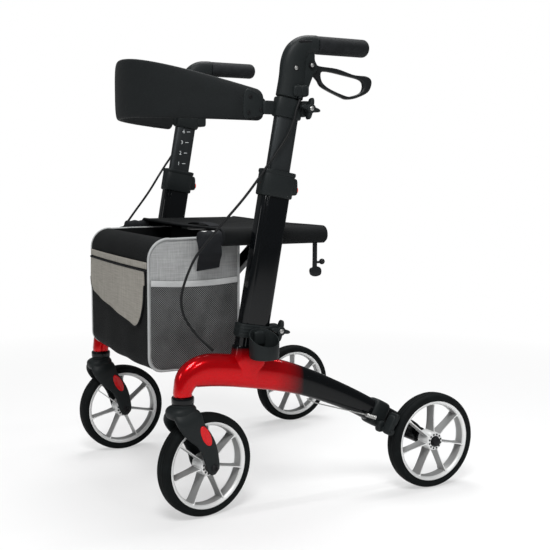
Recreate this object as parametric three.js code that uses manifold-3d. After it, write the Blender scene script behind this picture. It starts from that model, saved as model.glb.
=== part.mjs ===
// A four-wheeled walking frame (rollator) with a cross-folding brace, seat, shopping bag and backrest.
// Millimetres. +X is the user's left side, +Y the rear (the user's side), +Z up.
import * as THREE from "three";
import { mergeVertices } from "three/addons/utils/BufferGeometryUtils.js";
import Module from "manifold-3d";

const wasm = await Module();
wasm.setup();

// ---------- driving dimensions ----------
const GAP = 0.3; // between pieces that touch
const RUN = 0.4; // round a pin, shaft or rail that turns

// Frame: half width, wheelbase ends and wheel size.
const FRAME_X = 253; // side frame's plane from the middle
const REAR_AXLE_Y = 245;
const STEER_Y = -293.8;
const WHEEL_R = 100;
const TRAIL = 49; // front axle behind the steering axis
const CASTER_TURN = { left: 10, right: 2 }; // degrees, as parked

const TYRE_W = 34;
const TYRE_WALL = 15.5; // tread to rim seat
const RIM_W = TYRE_W - 3;
const RIM_WALL = 4;
const RIM_LIP = 7; // depth of the rim's inner step
const SPOKES = 7;
const SPOKE_T = 3.2;
const HUB_R = 19;
const HUB_W = TYRE_W + 2;
const AXLE_R = 6;
const AXLE_CAP = 8.7;
const AXLE_FLANGE = 10; // radius
const WHEEL_X = FRAME_X + HUB_W / 2 + 31; // rear wheel's plane from the middle

// Uprights: an outer extrusion socketed in the beam, and the sliding tube inside it.
const UPRIGHT_D = 60; // fore and aft
const UPRIGHT_W = 30;
const UPRIGHT_WALL = 3.2;
const LEAN = 9.8; // uprights' lean to the rear, degrees
const UPRIGHT_Y = -140.5; // upright's axis at UPRIGHT_Z
const UPRIGHT_Z = 400;
const UPRIGHT_TOP = 655; // top of the outer extrusion
const TUBE_D = UPRIGHT_D - 2 * (UPRIGHT_WALL + 2.8);
const TUBE_W = UPRIGHT_W - 2 * (UPRIGHT_WALL + 1.3);
const TUBE_INSERT = 190; // length of tube inside the extrusion, handles up
const COLLAR_WALL = 4;
const HEIGHT_COLLAR_H = 49;
const BUTTON_R = 7.5;
const BUTTON_TRAVEL = 4;

// Side beam, steering head and bearing cap.
const BEAM_HALF_W = UPRIGHT_W / 2 + 2;
const BEAM_END_R = 17; // eye round the rear axle
const BEAM_END_HALF_W = BEAM_HALF_W - 3;
const HEAD_R = 17.5; // round steering head
const HEAD_Z = WHEEL_R + 139.5; // lower face of the head
const BEARING_R = HEAD_R + 4;
const BEARING_H = 14;
const STEM_R = 5;
const UPRIGHT_FOOT = HEAD_Z + 48.5; // where the extrusion ends inside the beam
const FOOT_TOP = UPRIGHT_FOOT + 36;

// Seat rails and the crossed struts under them.
const RAIL_X = FRAME_X - 40;
const RAIL_Z = 531;
const RAIL_R = 11;
const RAIL_FRONT = -240;
const RAIL_REAR = 36;
const PIVOT_X = FRAME_X - 31; // lower pivot of each brace strut
const PIVOT_Z = HEAD_Z + 35.5;
const PIN_R = 6;
const PIN_HEAD_R = PIN_R + 4;
const LUG_R = PIN_R + 6;
const STRUT_T = 18; // strut's thickness along Y
const STRUT_H = 2 * (RAIL_R + 1.5);
const LANE_GAP = 2; // between the two struts
const STRUT_Y = UPRIGHT_Y + 25.5; // middle of the pair
const EYE_R = RAIL_R + RUN + 2.6; // eye of a strut round its rail

const SEAT_FRONT = -197;
const SEAT_REAR = 30;
const SEAT_T = 4;

const BAG_HALF = RAIL_X - 33;
const BAG_REAR = STRUT_Y - STRUT_T - LANE_GAP / 2 - 9;
const BAG_FRONT = BAG_REAR - 191;
const BAG_BOTTOM = 274;
const BAG_TOP = RAIL_Z + 3;
const BAG_WALL = 4;
const FLAP_T = 3;
const FLAP_HINGE_Z = 470;

// Handles: everything on the sliding tube is set out from the grip's height.
const GRIP_Z = 902;
const GRIP_R = 17.5;
const GRIP_LENGTH = 128;
const GRIP_CORE_R = 11;
const TUBE_TOP = GRIP_Z - 40;
const HOUSING_WALL = 3;
const HOUSING_LOW = GRIP_Z - 103;
const LEVER_T = 11;
const LEVER_PIN_R = 3;
const CLAMP_Z = GRIP_Z - 123;
const CLAMP_H = 37;
const CLAMP_WALL = 4;
const KNOB_R = 21;
const KNOB_LOBES = 4;
const KNOB_SEAT = 15; // from the frame's plane to the face under a hand knob
const KNOB_T = 14;
const SCREW_R = 3;
const BAND_T = 12; // backrest band
const BAND_BOW = 199;
const CABLE_R = 2.5;

// Cane cup.
const CUP_R = 29;
const CUP_WALL = 2.5;
const CUP_X = FRAME_X + UPRIGHT_W / 2 + CUP_R + 3;
const CUP_CLAMP_Z = FOOT_TOP + 29;
const CUP_CLAMP_H = 26;
const CUP_BOTTOM = CUP_CLAMP_Z - 47;
const CUP_BACK_Z = CUP_CLAMP_Z + 9; // the mouth slopes from its inner edge down to its outer edge
const CUP_FRONT_Z = CUP_CLAMP_Z - 20;

const lean = THREE.MathUtils.degToRad(LEAN);
const uprightY = (z) => UPRIGHT_Y + (z - UPRIGHT_Z) * Math.tan(lean);
const HANDLE_Y = uprightY(TUBE_TOP);
const GRIP_START = HANDLE_Y + 36.7;
const GRIP_END = GRIP_START + GRIP_LENGTH;
const LEVER_PIVOT = [HANDLE_Y + 30.7, GRIP_Z - 40]; // y, z
const BAND_END_Y = uprightY(CLAMP_Z) - 40;
const CUP_Y = uprightY(CUP_CLAMP_Z) + 1.6;

// ---------- finishes ----------
const finish = (color, roughness, metalness = 0) => () =>
  new THREE.MeshStandardMaterial({ color, roughness, metalness });
const redPaint = finish(0xb40010, 0.25, 0.5);
const blackPaint = finish(0x08090b, 0.3, 0.4);
const darkTube = finish(0x2b3134, 0.55, 0.5);
const blackPlastic = finish(0x1c2022, 0.6);
const redPlastic = finish(0xe0321c, 0.45);
const silverRim = finish(0xc9c9c6, 0.4, 0.3);
const tyreRubber = finish(0x111314, 0.8);
const softGrip = finish(0x202427, 0.75);
const steel = finish(0xb9bcc0, 0.35, 0.9);
const blackCloth = finish(0x17191b, 0.9);
const greyCloth = finish(0x9fa3a3, 0.9);
const beigeCloth = finish(0x9c998e, 0.9);
const foam = finish(0x1a1e20, 0.85);

// ---------- solids ----------
const group = new THREE.Group();

function solid(geometry) {
  const bare = geometry.index ? geometry.toNonIndexed() : geometry.clone();
  bare.deleteAttribute("normal");
  bare.deleteAttribute("uv");
  const merged = mergeVertices(bare, 1e-4);
  return new wasm.Manifold(
    new wasm.Mesh({
      numProp: 3,
      vertProperties: new Float32Array(merged.attributes.position.array),
      triVerts: new Uint32Array(merged.index.array),
    }),
  );
}

const join = (...parts) => parts.reduce((a, b) => a.add(b));
const cut = (body, ...tools) => tools.reduce((a, b) => a.subtract(b), body);

function geometryOf(body) {
  const mesh = body.getMesh();
  const geometry = new THREE.BufferGeometry();
  geometry.setAttribute("position", new THREE.BufferAttribute(new Float32Array(mesh.vertProperties), 3));
  geometry.setIndex(new THREE.BufferAttribute(new Uint32Array(mesh.triVerts), 1));
  return geometry;
}

function place(name, body, material, parent = group) {
  const mesh = new THREE.Mesh(geometryOf(body), material());
  mesh.name = name;
  parent.add(mesh);
}

function block(x0, x1, y0, y1, z0, z1) {
  const g = new THREE.BoxGeometry(x1 - x0, y1 - y0, z1 - z0);
  return solid(g.translate((x0 + x1) / 2, (y0 + y1) / 2, (z0 + z1) / 2));
}

// A round bar along X, Y or Z between two stations.
function bar(axis, radius, from, to, a, b, sides = 16) {
  const g = new THREE.CylinderGeometry(radius, radius, to - from, sides);
  const mid = (from + to) / 2;
  if (axis === "x") g.rotateZ(-Math.PI / 2).translate(mid, a, b);
  if (axis === "y") g.translate(a, mid, b);
  if (axis === "z") g.rotateX(Math.PI / 2).translate(a, b, mid);
  return solid(g);
}

// Lathe of [radius, station] points round the X axis.
function turnedX(profile, segments) {
  const g = new THREE.LatheGeometry(profile.map(([r, s]) => new THREE.Vector2(r, s)), segments);
  return solid(g.rotateZ(-Math.PI / 2));
}

function turnedZ(profile, segments) {
  const g = new THREE.LatheGeometry(profile.map(([r, s]) => new THREE.Vector2(r, s)), segments);
  return solid(g.rotateX(Math.PI / 2));
}

const shapeOf = (points) => new THREE.Shape(points.map(([u, v]) => new THREE.Vector2(u, v)));

// An outline in the Y-Z plane made X0 to X1 thick.
function sidePlate(shape, x0, x1, curveSegments = 6) {
  const g = new THREE.ExtrudeGeometry(shape, { depth: x1 - x0, bevelEnabled: false, curveSegments });
  const cyclic = new THREE.Matrix4().set(0, 0, 1, x0, 1, 0, 0, 0, 0, 1, 0, 0, 0, 0, 0, 1);
  return solid(g.applyMatrix4(cyclic));
}

// An outline in the X-Z plane made Y0 to Y1 thick.
function facePlate(shape, y0, y1, curveSegments = 6) {
  const g = new THREE.ExtrudeGeometry(shape, { depth: y1 - y0, bevelEnabled: false, curveSegments });
  const turn = new THREE.Matrix4().set(1, 0, 0, 0, 0, 0, -1, y1, 0, 1, 0, 0, 0, 0, 0, 1);
  return solid(g.applyMatrix4(turn));
}

// A smooth closed outline through a few points.
function smoothShape(points, divisions) {
  const curve = new THREE.CatmullRomCurve3(
    points.map(([u, v]) => new THREE.Vector3(u, v, 0)),
    true,
    "centripetal",
  );
  return new THREE.Shape(curve.getPoints(divisions).slice(0, -1).map((p) => new THREE.Vector2(p.x, p.y)));
}

function roundedRect(width, height, radius) {
  const w = width / 2;
  const h = height / 2;
  const r = Math.min(radius, w - 0.01, h - 0.01);
  const shape = new THREE.Shape();
  shape.moveTo(-w + r, -h);
  shape.lineTo(w - r, -h);
  shape.absarc(w - r, -h + r, r, -Math.PI / 2, 0);
  shape.lineTo(w, h - r);
  shape.absarc(w - r, h - r, r, 0, Math.PI / 2);
  shape.lineTo(-w + r, h);
  shape.absarc(-w + r, h - r, r, Math.PI / 2, Math.PI);
  shape.lineTo(-w, -h + r);
  shape.absarc(-w + r, -h + r, r, Math.PI, 1.5 * Math.PI);
  return shape;
}

// Rings of equal count skinned into one closed body, from the first ring's side to the last's.
function loft(rings) {
  const count = rings[0].length;
  const points = rings.flat();
  const centre = (ring) => ring.reduce((s, p) => s.clone().add(p)).divideScalar(count);
  const faces = [];
  for (let i = 0; i + 1 < rings.length; i++)
    for (let j = 0; j < count; j++) {
      const a = i * count + j;
      const b = i * count + ((j + 1) % count);
      faces.push(a, b, b + count, a, b + count, a + count);
    }
  const start = points.push(centre(rings[0])) - 1;
  const end = points.push(centre(rings[rings.length - 1])) - 1;
  const last = (rings.length - 1) * count;
  for (let j = 0; j < count; j++) {
    const k = (j + 1) % count;
    faces.push(start, k, j, end, last + j, last + k);
  }
  const g = new THREE.BufferGeometry().setFromPoints(points);
  g.setIndex(faces);
  return solid(g);
}

// An oval section swept through stations in the Y-Z plane: [y, z, half height, half width].
function ovalSweep(stations, x, sides, samples) {
  const middles = stations.map(([y, z]) => new THREE.Vector3(0, y, z));
  const path = new THREE.CatmullRomCurve3(middles, false, "centripetal");
  const sizes = new THREE.SplineCurve(stations.map(([, , h, w]) => new THREE.Vector2(h, w)));
  const rings = [];
  for (let i = 0; i <= samples; i++) {
    const t = i / samples;
    const p = path.getPoint(t);
    const along = path.getTangent(t);
    const up = new THREE.Vector3(0, -along.z, along.y);
    const { x: h, y: w } = sizes.getPoint(t);
    const ring = [];
    for (let k = 0; k < sides; k++) {
      const a = (2 * Math.PI * k) / sides;
      ring.push(
        p.clone().addScaledVector(up, h * Math.sin(a)).add(new THREE.Vector3(x - w * Math.cos(a), 0, 0)),
      );
    }
    rings.push(ring);
  }
  return loft(rings);
}

// A constant section along the leaning upright, between two heights; x is the section's middle.
function leaningBar(shape, x, z0, z1, aft = 0, curveSegments = 2) {
  const depth = (z1 - z0) / Math.cos(lean);
  const g = new THREE.ExtrudeGeometry(shape, { depth, bevelEnabled: false, curveSegments });
  g.translate(0, aft, 0).rotateX(-lean).translate(x, uprightY(z0), z0);
  return solid(g);
}

// A lobed hand knob with its axis on X.
function starKnob(x0, x1, y, z) {
  const lobe = KNOB_R - 5;
  let body = bar("x", 8, x0, x1, y, z, 16);
  for (let i = 0; i < KNOB_LOBES; i++) {
    const a = (2 * Math.PI * i) / KNOB_LOBES - 0.2;
    const dy = Math.cos(a);
    const dz = Math.sin(a);
    const arm = new THREE.BoxGeometry(x1 - x0 - 4, lobe, 8);
    arm.rotateX(a).translate((x0 + x1) / 2, y + (dy * lobe) / 2, z + (dz * lobe) / 2);
    body = join(body, solid(arm), bar("x", 5, x0 + 2, x1 - 2, y + dy * lobe, z + dz * lobe, 10));
  }
  return body;
}

// ---------- one side frame; side is +1 for the left, -1 for the right ----------
// Everything is drawn for the left side and mirrored in X for the right.
function mirrored(body, side) {
  return side > 0 ? body : body.mirror([1, 0, 0]);
}

const RAIL_LANES = { left: STRUT_Y + (STRUT_T + LANE_GAP) / 2, right: STRUT_Y - (STRUT_T + LANE_GAP) / 2 };
const PIVOT_LANES = { left: RAIL_LANES.right, right: RAIL_LANES.left };

const forward = (share) => UPRIGHT_Y + share * (STEER_Y - UPRIGHT_Y);
const rearward = (share) => UPRIGHT_Y + share * (REAR_AXLE_Y - UPRIGHT_Y);

// [y, z, half height, half width] from the head back to the rear axle.
const BEAM_STATIONS = [
  [STEER_Y, HEAD_Z - 8, HEAD_R, HEAD_R],
  [STEER_Y + 0.5, HEAD_Z + 12, HEAD_R + 0.5, HEAD_R],
  [STEER_Y + 12, HEAD_Z + 34.5, 25, HEAD_R],
  [STEER_Y + 42, HEAD_Z + 45, 31, BEAM_HALF_W],
  [forward(0.414), HEAD_Z + 41.5, 31.5, BEAM_HALF_W],
  [forward(0.055), HEAD_Z + 32.5, 31.5, BEAM_HALF_W],
  [rearward(0.12), HEAD_Z + 21.5, 31, BEAM_HALF_W],
  [rearward(0.266), HEAD_Z + 4, 28, BEAM_HALF_W],
  [rearward(0.411), WHEEL_R + 120.5, 25.5, BEAM_HALF_W - 0.5],
  [rearward(0.567), WHEEL_R + 92.5, 23.5, BEAM_HALF_W - 1],
  [rearward(0.702), WHEEL_R + 64, 23, BEAM_HALF_W - 1.5],
  [rearward(0.821), WHEEL_R + 39, 22, BEAM_HALF_W - 2],
  [REAR_AXLE_Y - 18, WHEEL_R + 12, 20, BEAM_END_HALF_W + 0.5],
  [REAR_AXLE_Y, WHEEL_R, BEAM_END_R, BEAM_END_HALF_W],
];

const BEAM_SIDES = 12;
const BEAM_SAMPLES = 22;

function beam(laneY) {
  const body = ovalSweep(BEAM_STATIONS, FRAME_X, BEAM_SIDES, BEAM_SAMPLES);
  const axleEye = bar(
    "x",
    BEAM_END_R,
    FRAME_X - BEAM_END_HALF_W,
    FRAME_X + BEAM_END_HALF_W,
    REAR_AXLE_Y,
    WHEEL_R,
  );
  const near = laneY + STRUT_T / 2 + GAP;
  const far = laneY - STRUT_T / 2 - GAP;
  const lug = join(
    block(PIVOT_X, FRAME_X - BEAM_HALF_W / 2, near, near + 8, PIVOT_Z - LUG_R, PIVOT_Z + LUG_R),
    bar("y", LUG_R, near, near + 8, PIVOT_X, PIVOT_Z),
    bar("y", PIN_R, far - 1, near + 1, PIVOT_X, PIVOT_Z),
    bar("y", PIN_HEAD_R, far - 3, far, PIVOT_X, PIVOT_Z),
  );
  const socket = leaningBar(
    roundedRect(UPRIGHT_W + 2 * GAP, UPRIGHT_D + 2 * GAP, 13),
    FRAME_X,
    UPRIGHT_FOOT - GAP,
    UPRIGHT_FOOT + 80,
  );
  const foot = leaningBar(roundedRect(UPRIGHT_W + 4, UPRIGHT_D + 8, 14), FRAME_X, UPRIGHT_FOOT - 8, FOOT_TOP);
  const belowHead = block(FRAME_X - 30, FRAME_X + 30, STEER_Y - 30, STEER_Y + 30, HEAD_Z - 30, HEAD_Z);
  return cut(
    join(body, axleEye, foot, lug),
    socket,
    belowHead,
    bar("x", AXLE_R + GAP, FRAME_X - 20, FRAME_X + 20, REAR_AXLE_Y, WHEEL_R),
    bar("z", STEM_R + RUN, HEAD_Z - 1, HEAD_Z + 26, FRAME_X, STEER_Y),
  );
}

function upright() {
  const outer = leaningBar(roundedRect(UPRIGHT_W, UPRIGHT_D, 12), FRAME_X, UPRIGHT_FOOT, UPRIGHT_TOP - GAP);
  const bore = leaningBar(
    roundedRect(UPRIGHT_W - 2 * UPRIGHT_WALL, UPRIGHT_D - 2 * UPRIGHT_WALL, 9),
    FRAME_X,
    UPRIGHT_FOOT + 40,
    UPRIGHT_TOP + 5,
  );
  const groove = roundedRect(3, 3, 1);
  const grooves = [-1, 1].map((s) =>
    leaningBar(groove, FRAME_X + (s * UPRIGHT_W) / 2, UPRIGHT_FOOT + 60, UPRIGHT_TOP + 5, -20),
  );
  return cut(outer, bore, ...grooves);
}

function heightCollar() {
  const top = UPRIGHT_TOP + COLLAR_WALL;
  const low = top - HEIGHT_COLLAR_H;
  const fit = 2 * (COLLAR_WALL + GAP);
  const shell = leaningBar(roundedRect(UPRIGHT_W + fit, UPRIGHT_D + fit, 15), FRAME_X, low, top);
  const cavity = leaningBar(
    roundedRect(UPRIGHT_W + 2 * GAP, UPRIGHT_D + 2 * GAP, 12.3),
    FRAME_X,
    low - 5,
    UPRIGHT_TOP,
  );
  const mouth = leaningBar(roundedRect(TUBE_W + 2 * RUN, TUBE_D + 2 * RUN, 8.5), FRAME_X, low, top + 5);
  const rear = uprightY(low + 14) + (UPRIGHT_D / 2 + COLLAR_WALL) / Math.cos(lean);
  const boss = block(FRAME_X - 11, FRAME_X + 11, rear - 6, rear + 7, low + 3, low + 33);
  const well = bar("y", BUTTON_R + GAP, rear, rear + 20, FRAME_X, low + 13);
  return cut(join(shell, boss), cavity, mouth, well);
}

function heightButton() {
  const low = UPRIGHT_TOP + COLLAR_WALL - HEIGHT_COLLAR_H;
  const rear = uprightY(low + 14) + (UPRIGHT_D / 2 + COLLAR_WALL) / Math.cos(lean);
  const start = rear + BUTTON_TRAVEL + 2 * GAP;
  return bar("y", BUTTON_R, start, rear + 15, FRAME_X, low + 13, 20);
}

function handleTube() {
  const low = uprightInsertZ();
  return leaningBar(roundedRect(TUBE_W, TUBE_D, 8), FRAME_X, low, TUBE_TOP);
}

function uprightInsertZ() {
  return UPRIGHT_TOP - TUBE_INSERT * Math.cos(lean);
}

// The elbow between tube and grip, with the brake lever's cheek at its rear.
function handleHousing() {
  const elbow = ovalSweep(
    [
      [uprightY(HOUSING_LOW), HOUSING_LOW, TUBE_D / 2 + HOUSING_WALL + 1, TUBE_W / 2 + HOUSING_WALL + 3],
      [uprightY(TUBE_TOP - 27), TUBE_TOP - 27, TUBE_D / 2 + HOUSING_WALL, TUBE_W / 2 + HOUSING_WALL + 3],
      [HANDLE_Y - 1.8, GRIP_Z - 36, 26, 16],
      [HANDLE_Y + 4.7, GRIP_Z - 17, 23.5, 16.5],
      [HANDLE_Y + 18.7, GRIP_Z - 4, 20, 17],
      [GRIP_START, GRIP_Z, GRIP_R + 0.5, GRIP_R + 0.5],
      [GRIP_START + 10, GRIP_Z, GRIP_R + 0.5, GRIP_R + 0.5],
    ],
    FRAME_X,
    12,
    11,
  );
  const cheekShape = smoothShape(
    [
      [HANDLE_Y + 0.7, GRIP_Z - 102],
      [HANDLE_Y + 22.7, GRIP_Z - 96],
      [HANDLE_Y + 27.7, GRIP_Z - 82],
      [HANDLE_Y + 36.7, GRIP_Z - 60],
      [HANDLE_Y + 46.7, GRIP_Z - 44],
      [HANDLE_Y + 40.7, GRIP_Z - 30],
      [HANDLE_Y + 36.7, GRIP_Z - 14],
      [HANDLE_Y + 5.7, GRIP_Z - 10],
      [HANDLE_Y - 9.3, GRIP_Z - 52],
    ],
    24,
  );
  const cheek = sidePlate(cheekShape, FRAME_X - 12, FRAME_X + 12);
  const bore = leaningBar(
    roundedRect(TUBE_W + 2 * GAP, TUBE_D + 2 * GAP, 8.3),
    FRAME_X,
    HOUSING_LOW - 10,
    TUBE_TOP + GAP,
  );
  const slot = block(
    FRAME_X - LEVER_T / 2 - RUN,
    FRAME_X + LEVER_T / 2 + RUN,
    LEVER_PIVOT[0] - 16,
    LEVER_PIVOT[0] + 70,
    LEVER_PIVOT[1] - 35,
    LEVER_PIVOT[1] + 17,
  );
  const pinHole = bar("x", LEVER_PIN_R + RUN, FRAME_X - 30, FRAME_X + 30, ...LEVER_PIVOT);
  const core = bar("y", GRIP_CORE_R, GRIP_START, GRIP_END - 14, FRAME_X, GRIP_Z);
  const [adjusterX, adjusterY, cableTop] = cablePoint(CABLE_ROUTE[0]);
  const adjuster = bar("z", 6, cableTop + 1, cableTop + 29, adjusterX, adjusterY, 16);
  return join(cut(join(elbow, cheek, adjuster), bore, slot, pinHole), core);
}

function grip() {
  const profile = [
    [0, GRIP_START + 10 + GAP],
    [GRIP_R, GRIP_START + 10 + GAP],
    [GRIP_R, GRIP_END - 10],
    [GRIP_R - 1.5, GRIP_END - 5],
    [GRIP_R - 5, GRIP_END - 1.2],
    [GRIP_R - 9, GRIP_END],
    [0, GRIP_END],
  ];
  const g = new THREE.LatheGeometry(profile.map(([r, s]) => new THREE.Vector2(r, s)), 18);
  const body = solid(g.translate(FRAME_X, 0, GRIP_Z));
  return cut(body, bar("y", GRIP_CORE_R + GAP, GRIP_START, GRIP_END - 14 + GAP, FRAME_X, GRIP_Z));
}

// The looped brake lever, set out from its pivot: outer outline and finger opening.
const LEVER_OUTER = [
  [-7, 0],
  [0, 8.5],
  [22, 1],
  [64, -2.5],
  [102, -12],
  [134, -14],
  [145, -24],
  [137, -44],
  [110, -57],
  [88, -61],
  [73, -57.5],
  [30, -40],
  [18, -26],
  [2, -11],
];
const LEVER_INNER = [
  [27, -14],
  [40, -9.5],
  [80, -15],
  [116, -22],
  [124, -33],
  [119, -46],
  [102, -53],
  [82, -53.5],
  [36, -36],
];

function brakeLever() {
  const plate = sidePlate(smoothShape(LEVER_OUTER, 36), -LEVER_T / 2, LEVER_T / 2);
  const opening = sidePlate(smoothShape(LEVER_INNER, 22), -LEVER_T, LEVER_T);
  const eye = bar("x", LEVER_PIN_R + RUN, -LEVER_T, LEVER_T, 0, 0, 12);
  return cut(plate, opening, eye).translate([FRAME_X, ...LEVER_PIVOT]);
}

function leverPin() {
  return bar("x", LEVER_PIN_R, FRAME_X - 14, FRAME_X + 14, ...LEVER_PIVOT, 16);
}

// Strap round the handle tube, with ears at the rear and an arm to the backrest band.
const clampRear = () => uprightY(CLAMP_Z) + TUBE_D / 2 + CLAMP_WALL;

function backrestClamp() {
  const fit = 2 * (CLAMP_WALL + GAP);
  const z0 = CLAMP_Z - CLAMP_H / 2;
  const z1 = CLAMP_Z + CLAMP_H / 2;
  const strap = leaningBar(roundedRect(TUBE_W + fit, TUBE_D + fit, 11), FRAME_X, z0, z1);
  const inside = leaningBar(roundedRect(TUBE_W + 2 * GAP, TUBE_D + 2 * GAP, 8.3), FRAME_X, z0 - 5, z1 + 5);
  const rear = clampRear();
  const ears = block(FRAME_X - 13, FRAME_X + KNOB_SEAT, rear - 5, rear + 18, CLAMP_Z - 15, CLAMP_Z + 15);
  const split = block(FRAME_X - 2, FRAME_X + 2, rear - 10, rear + 20, CLAMP_Z - 20, CLAMP_Z + 20);
  const front = uprightY(CLAMP_Z) - TUBE_D / 2 - CLAMP_WALL;
  const armX = FRAME_X - 3;
  const arm = block(armX - 5, armX + 4, BAND_END_Y - 12, front + 3, CLAMP_Z - 12, CLAMP_Z + 14);
  const plateShape = smoothShape(
    [
      [BAND_END_Y - 4, CLAMP_Z + 14],
      [BAND_END_Y - 33, CLAMP_Z + 32],
      [BAND_END_Y - 46, CLAMP_Z + 31],
      [BAND_END_Y - 50, CLAMP_Z + 6],
      [BAND_END_Y - 48, CLAMP_Z - 17],
      [BAND_END_Y - 35, CLAMP_Z - 19],
      [BAND_END_Y - 4, CLAMP_Z - 10],
    ],
    28,
  );
  const plate = sidePlate(plateShape, armX - 5, armX - 1);
  const screwHole = bar("x", SCREW_R + RUN, FRAME_X - 30, FRAME_X + 30, rear + 9, CLAMP_Z, 12);
  return cut(join(strap, ears, arm, plate), inside, split, screwHole);
}

function clampKnob() {
  const y = clampRear() + 9;
  const face = FRAME_X + KNOB_SEAT + GAP;
  return join(
    starKnob(face, face + KNOB_T, y, CLAMP_Z),
    bar("x", SCREW_R, FRAME_X - 14, face + 1, y, CLAMP_Z, 12),
  );
}

// Clamp round the beam that carries the brake shoe's pivot pin.
const SHOE_PIVOT = [REAR_AXLE_Y - WHEEL_R - 5.7, WHEEL_R + 31]; // y, z
const SHOE_PIN_R = 4;

function brakeBracket() {
  const next = BEAM_STATIONS.findIndex(([y]) => y > SHOE_PIVOT[0]);
  const [y0, z0, halfHeight, halfWidth] = BEAM_STATIONS[next - 1];
  const [y1, z1] = BEAM_STATIONS[next];
  const slope = Math.atan2(z1 - z0, y1 - y0);
  const middle = z0 + (SHOE_PIVOT[0] - y0) * Math.tan(slope);
  const shell = new THREE.BoxGeometry(2 * halfWidth + 11, 40, 2 * halfHeight + 11);
  shell.rotateX(slope).translate(FRAME_X, SHOE_PIVOT[0], middle);
  const inside = ovalSweep(
    BEAM_STATIONS.map(([y, z, h, w]) => [y, z, h + GAP, w + GAP]),
    FRAME_X,
    BEAM_SIDES,
    BEAM_SAMPLES,
  );
  const [pinY, pinZ] = SHOE_PIVOT;
  const boss = block(FRAME_X + 12, WHEEL_X - 19, pinY - 9, pinY + 7, pinZ - 8, pinZ + 14);
  const tyreSpace = bar("x", WHEEL_R + 1.5, FRAME_X + 16, WHEEL_X + 20, REAR_AXLE_Y, WHEEL_R, 48);
  const body = cut(join(solid(shell), boss), inside, tyreSpace);
  return join(body, bar("x", SHOE_PIN_R, FRAME_X + 20, WHEEL_X + 15, pinY, pinZ, 16));
}

// Shoe hung on the bracket's pin, with its rubber face just clear of the tyre.
const SHOE_CLEAR = 3;

function brakeShoe() {
  const angle = THREE.MathUtils.degToRad(150);
  const radius = WHEEL_R + SHOE_CLEAR + 5;
  const y = REAR_AXLE_Y + radius * Math.cos(angle);
  const z = WHEEL_R + radius * Math.sin(angle);
  const pad = new THREE.BoxGeometry(TYRE_W - 6, 10, 24);
  pad.rotateX(angle - Math.PI).translate(WHEEL_X, y, z);
  const arm = sidePlate(
    shapeOf([
      [SHOE_PIVOT[0] + 7, SHOE_PIVOT[1] + 2],
      [y + 4, z],
      [y - 6, z + 8],
      [SHOE_PIVOT[0] - 8, SHOE_PIVOT[1]],
    ]),
    WHEEL_X - 12,
    WHEEL_X + 12,
  );
  const eye = bar("x", 7.5, WHEEL_X - 12, WHEEL_X + 12, ...SHOE_PIVOT, 20);
  const tyreSpace = bar("x", WHEEL_R + SHOE_CLEAR, WHEEL_X - 20, WHEEL_X + 20, REAR_AXLE_Y, WHEEL_R, 72);
  const hole = bar("x", SHOE_PIN_R + RUN, WHEEL_X - 20, WHEEL_X + 20, ...SHOE_PIVOT, 16);
  return cut(join(solid(pad), arm, eye), tyreSpace, hole);
}

function rearAxle() {
  const beamSide = FRAME_X + BEAM_END_HALF_W + GAP;
  const hubStart = WHEEL_X - HUB_W / 2 - GAP;
  const hubEnd = WHEEL_X + HUB_W / 2 + GAP;
  const nut = FRAME_X - BEAM_END_HALF_W - GAP;
  return join(
    bar("x", AXLE_FLANGE, beamSide, hubStart, REAR_AXLE_Y, WHEEL_R),
    bar("x", AXLE_R, nut - 4, hubEnd + 4, REAR_AXLE_Y, WHEEL_R),
    bar("x", AXLE_FLANGE, hubEnd, hubEnd + AXLE_CAP, REAR_AXLE_Y, WHEEL_R),
    bar("x", AXLE_FLANGE - 1, nut - 8, nut, REAR_AXLE_Y, WHEEL_R, 6),
  );
}

// ---------- wheels, drawn round X at the origin ----------
function tyre() {
  const w = TYRE_W / 2;
  const seat = WHEEL_R - TYRE_WALL;
  return turnedX(
    [
      [seat, -RIM_W / 2],
      [WHEEL_R - 6, -w],
      [WHEEL_R - 1.6, -w + 5],
      [WHEEL_R, -w / 3],
      [WHEEL_R, w / 3],
      [WHEEL_R - 1.6, w - 5],
      [WHEEL_R - 6, w],
      [seat, RIM_W / 2],
      [seat, -RIM_W / 2],
    ],
    30,
  );
}

function rim() {
  const r = WHEEL_R - TYRE_WALL - GAP;
  const w = RIM_W / 2;
  const barrel = turnedX(
    [
      [r - RIM_WALL, -w],
      [r, -w],
      [r, w],
      [r - RIM_WALL, w],
      [r - RIM_LIP, 4],
      [r - RIM_LIP, -4],
      [r - RIM_WALL, -w],
    ],
    30,
  );
  const spokeStart = HUB_R - 4;
  const spokeEnd = r - RIM_WALL;
  let body = join(barrel, bar("x", HUB_R, -HUB_W / 2, HUB_W / 2, 0, 0));
  for (let i = 0; i < SPOKES; i++) {
    const spoke = new THREE.BoxGeometry(RIM_W - 6, SPOKE_T, spokeEnd - spokeStart);
    spoke.translate(0, 0, (spokeEnd + spokeStart) / 2).rotateX((2 * Math.PI * i) / SPOKES);
    body = join(body, solid(spoke));
  }
  return cut(body, bar("x", AXLE_R + RUN, -HUB_W, HUB_W, 0, 0));
}

// ---------- caster, drawn with its steering axis on Z at the origin ----------
const FORK_INNER = TYRE_W / 2 + 5;
const FORK_OUTER = FORK_INNER + 12;
const FORK_TOP = HEAD_Z - BEARING_H - GAP;

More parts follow.
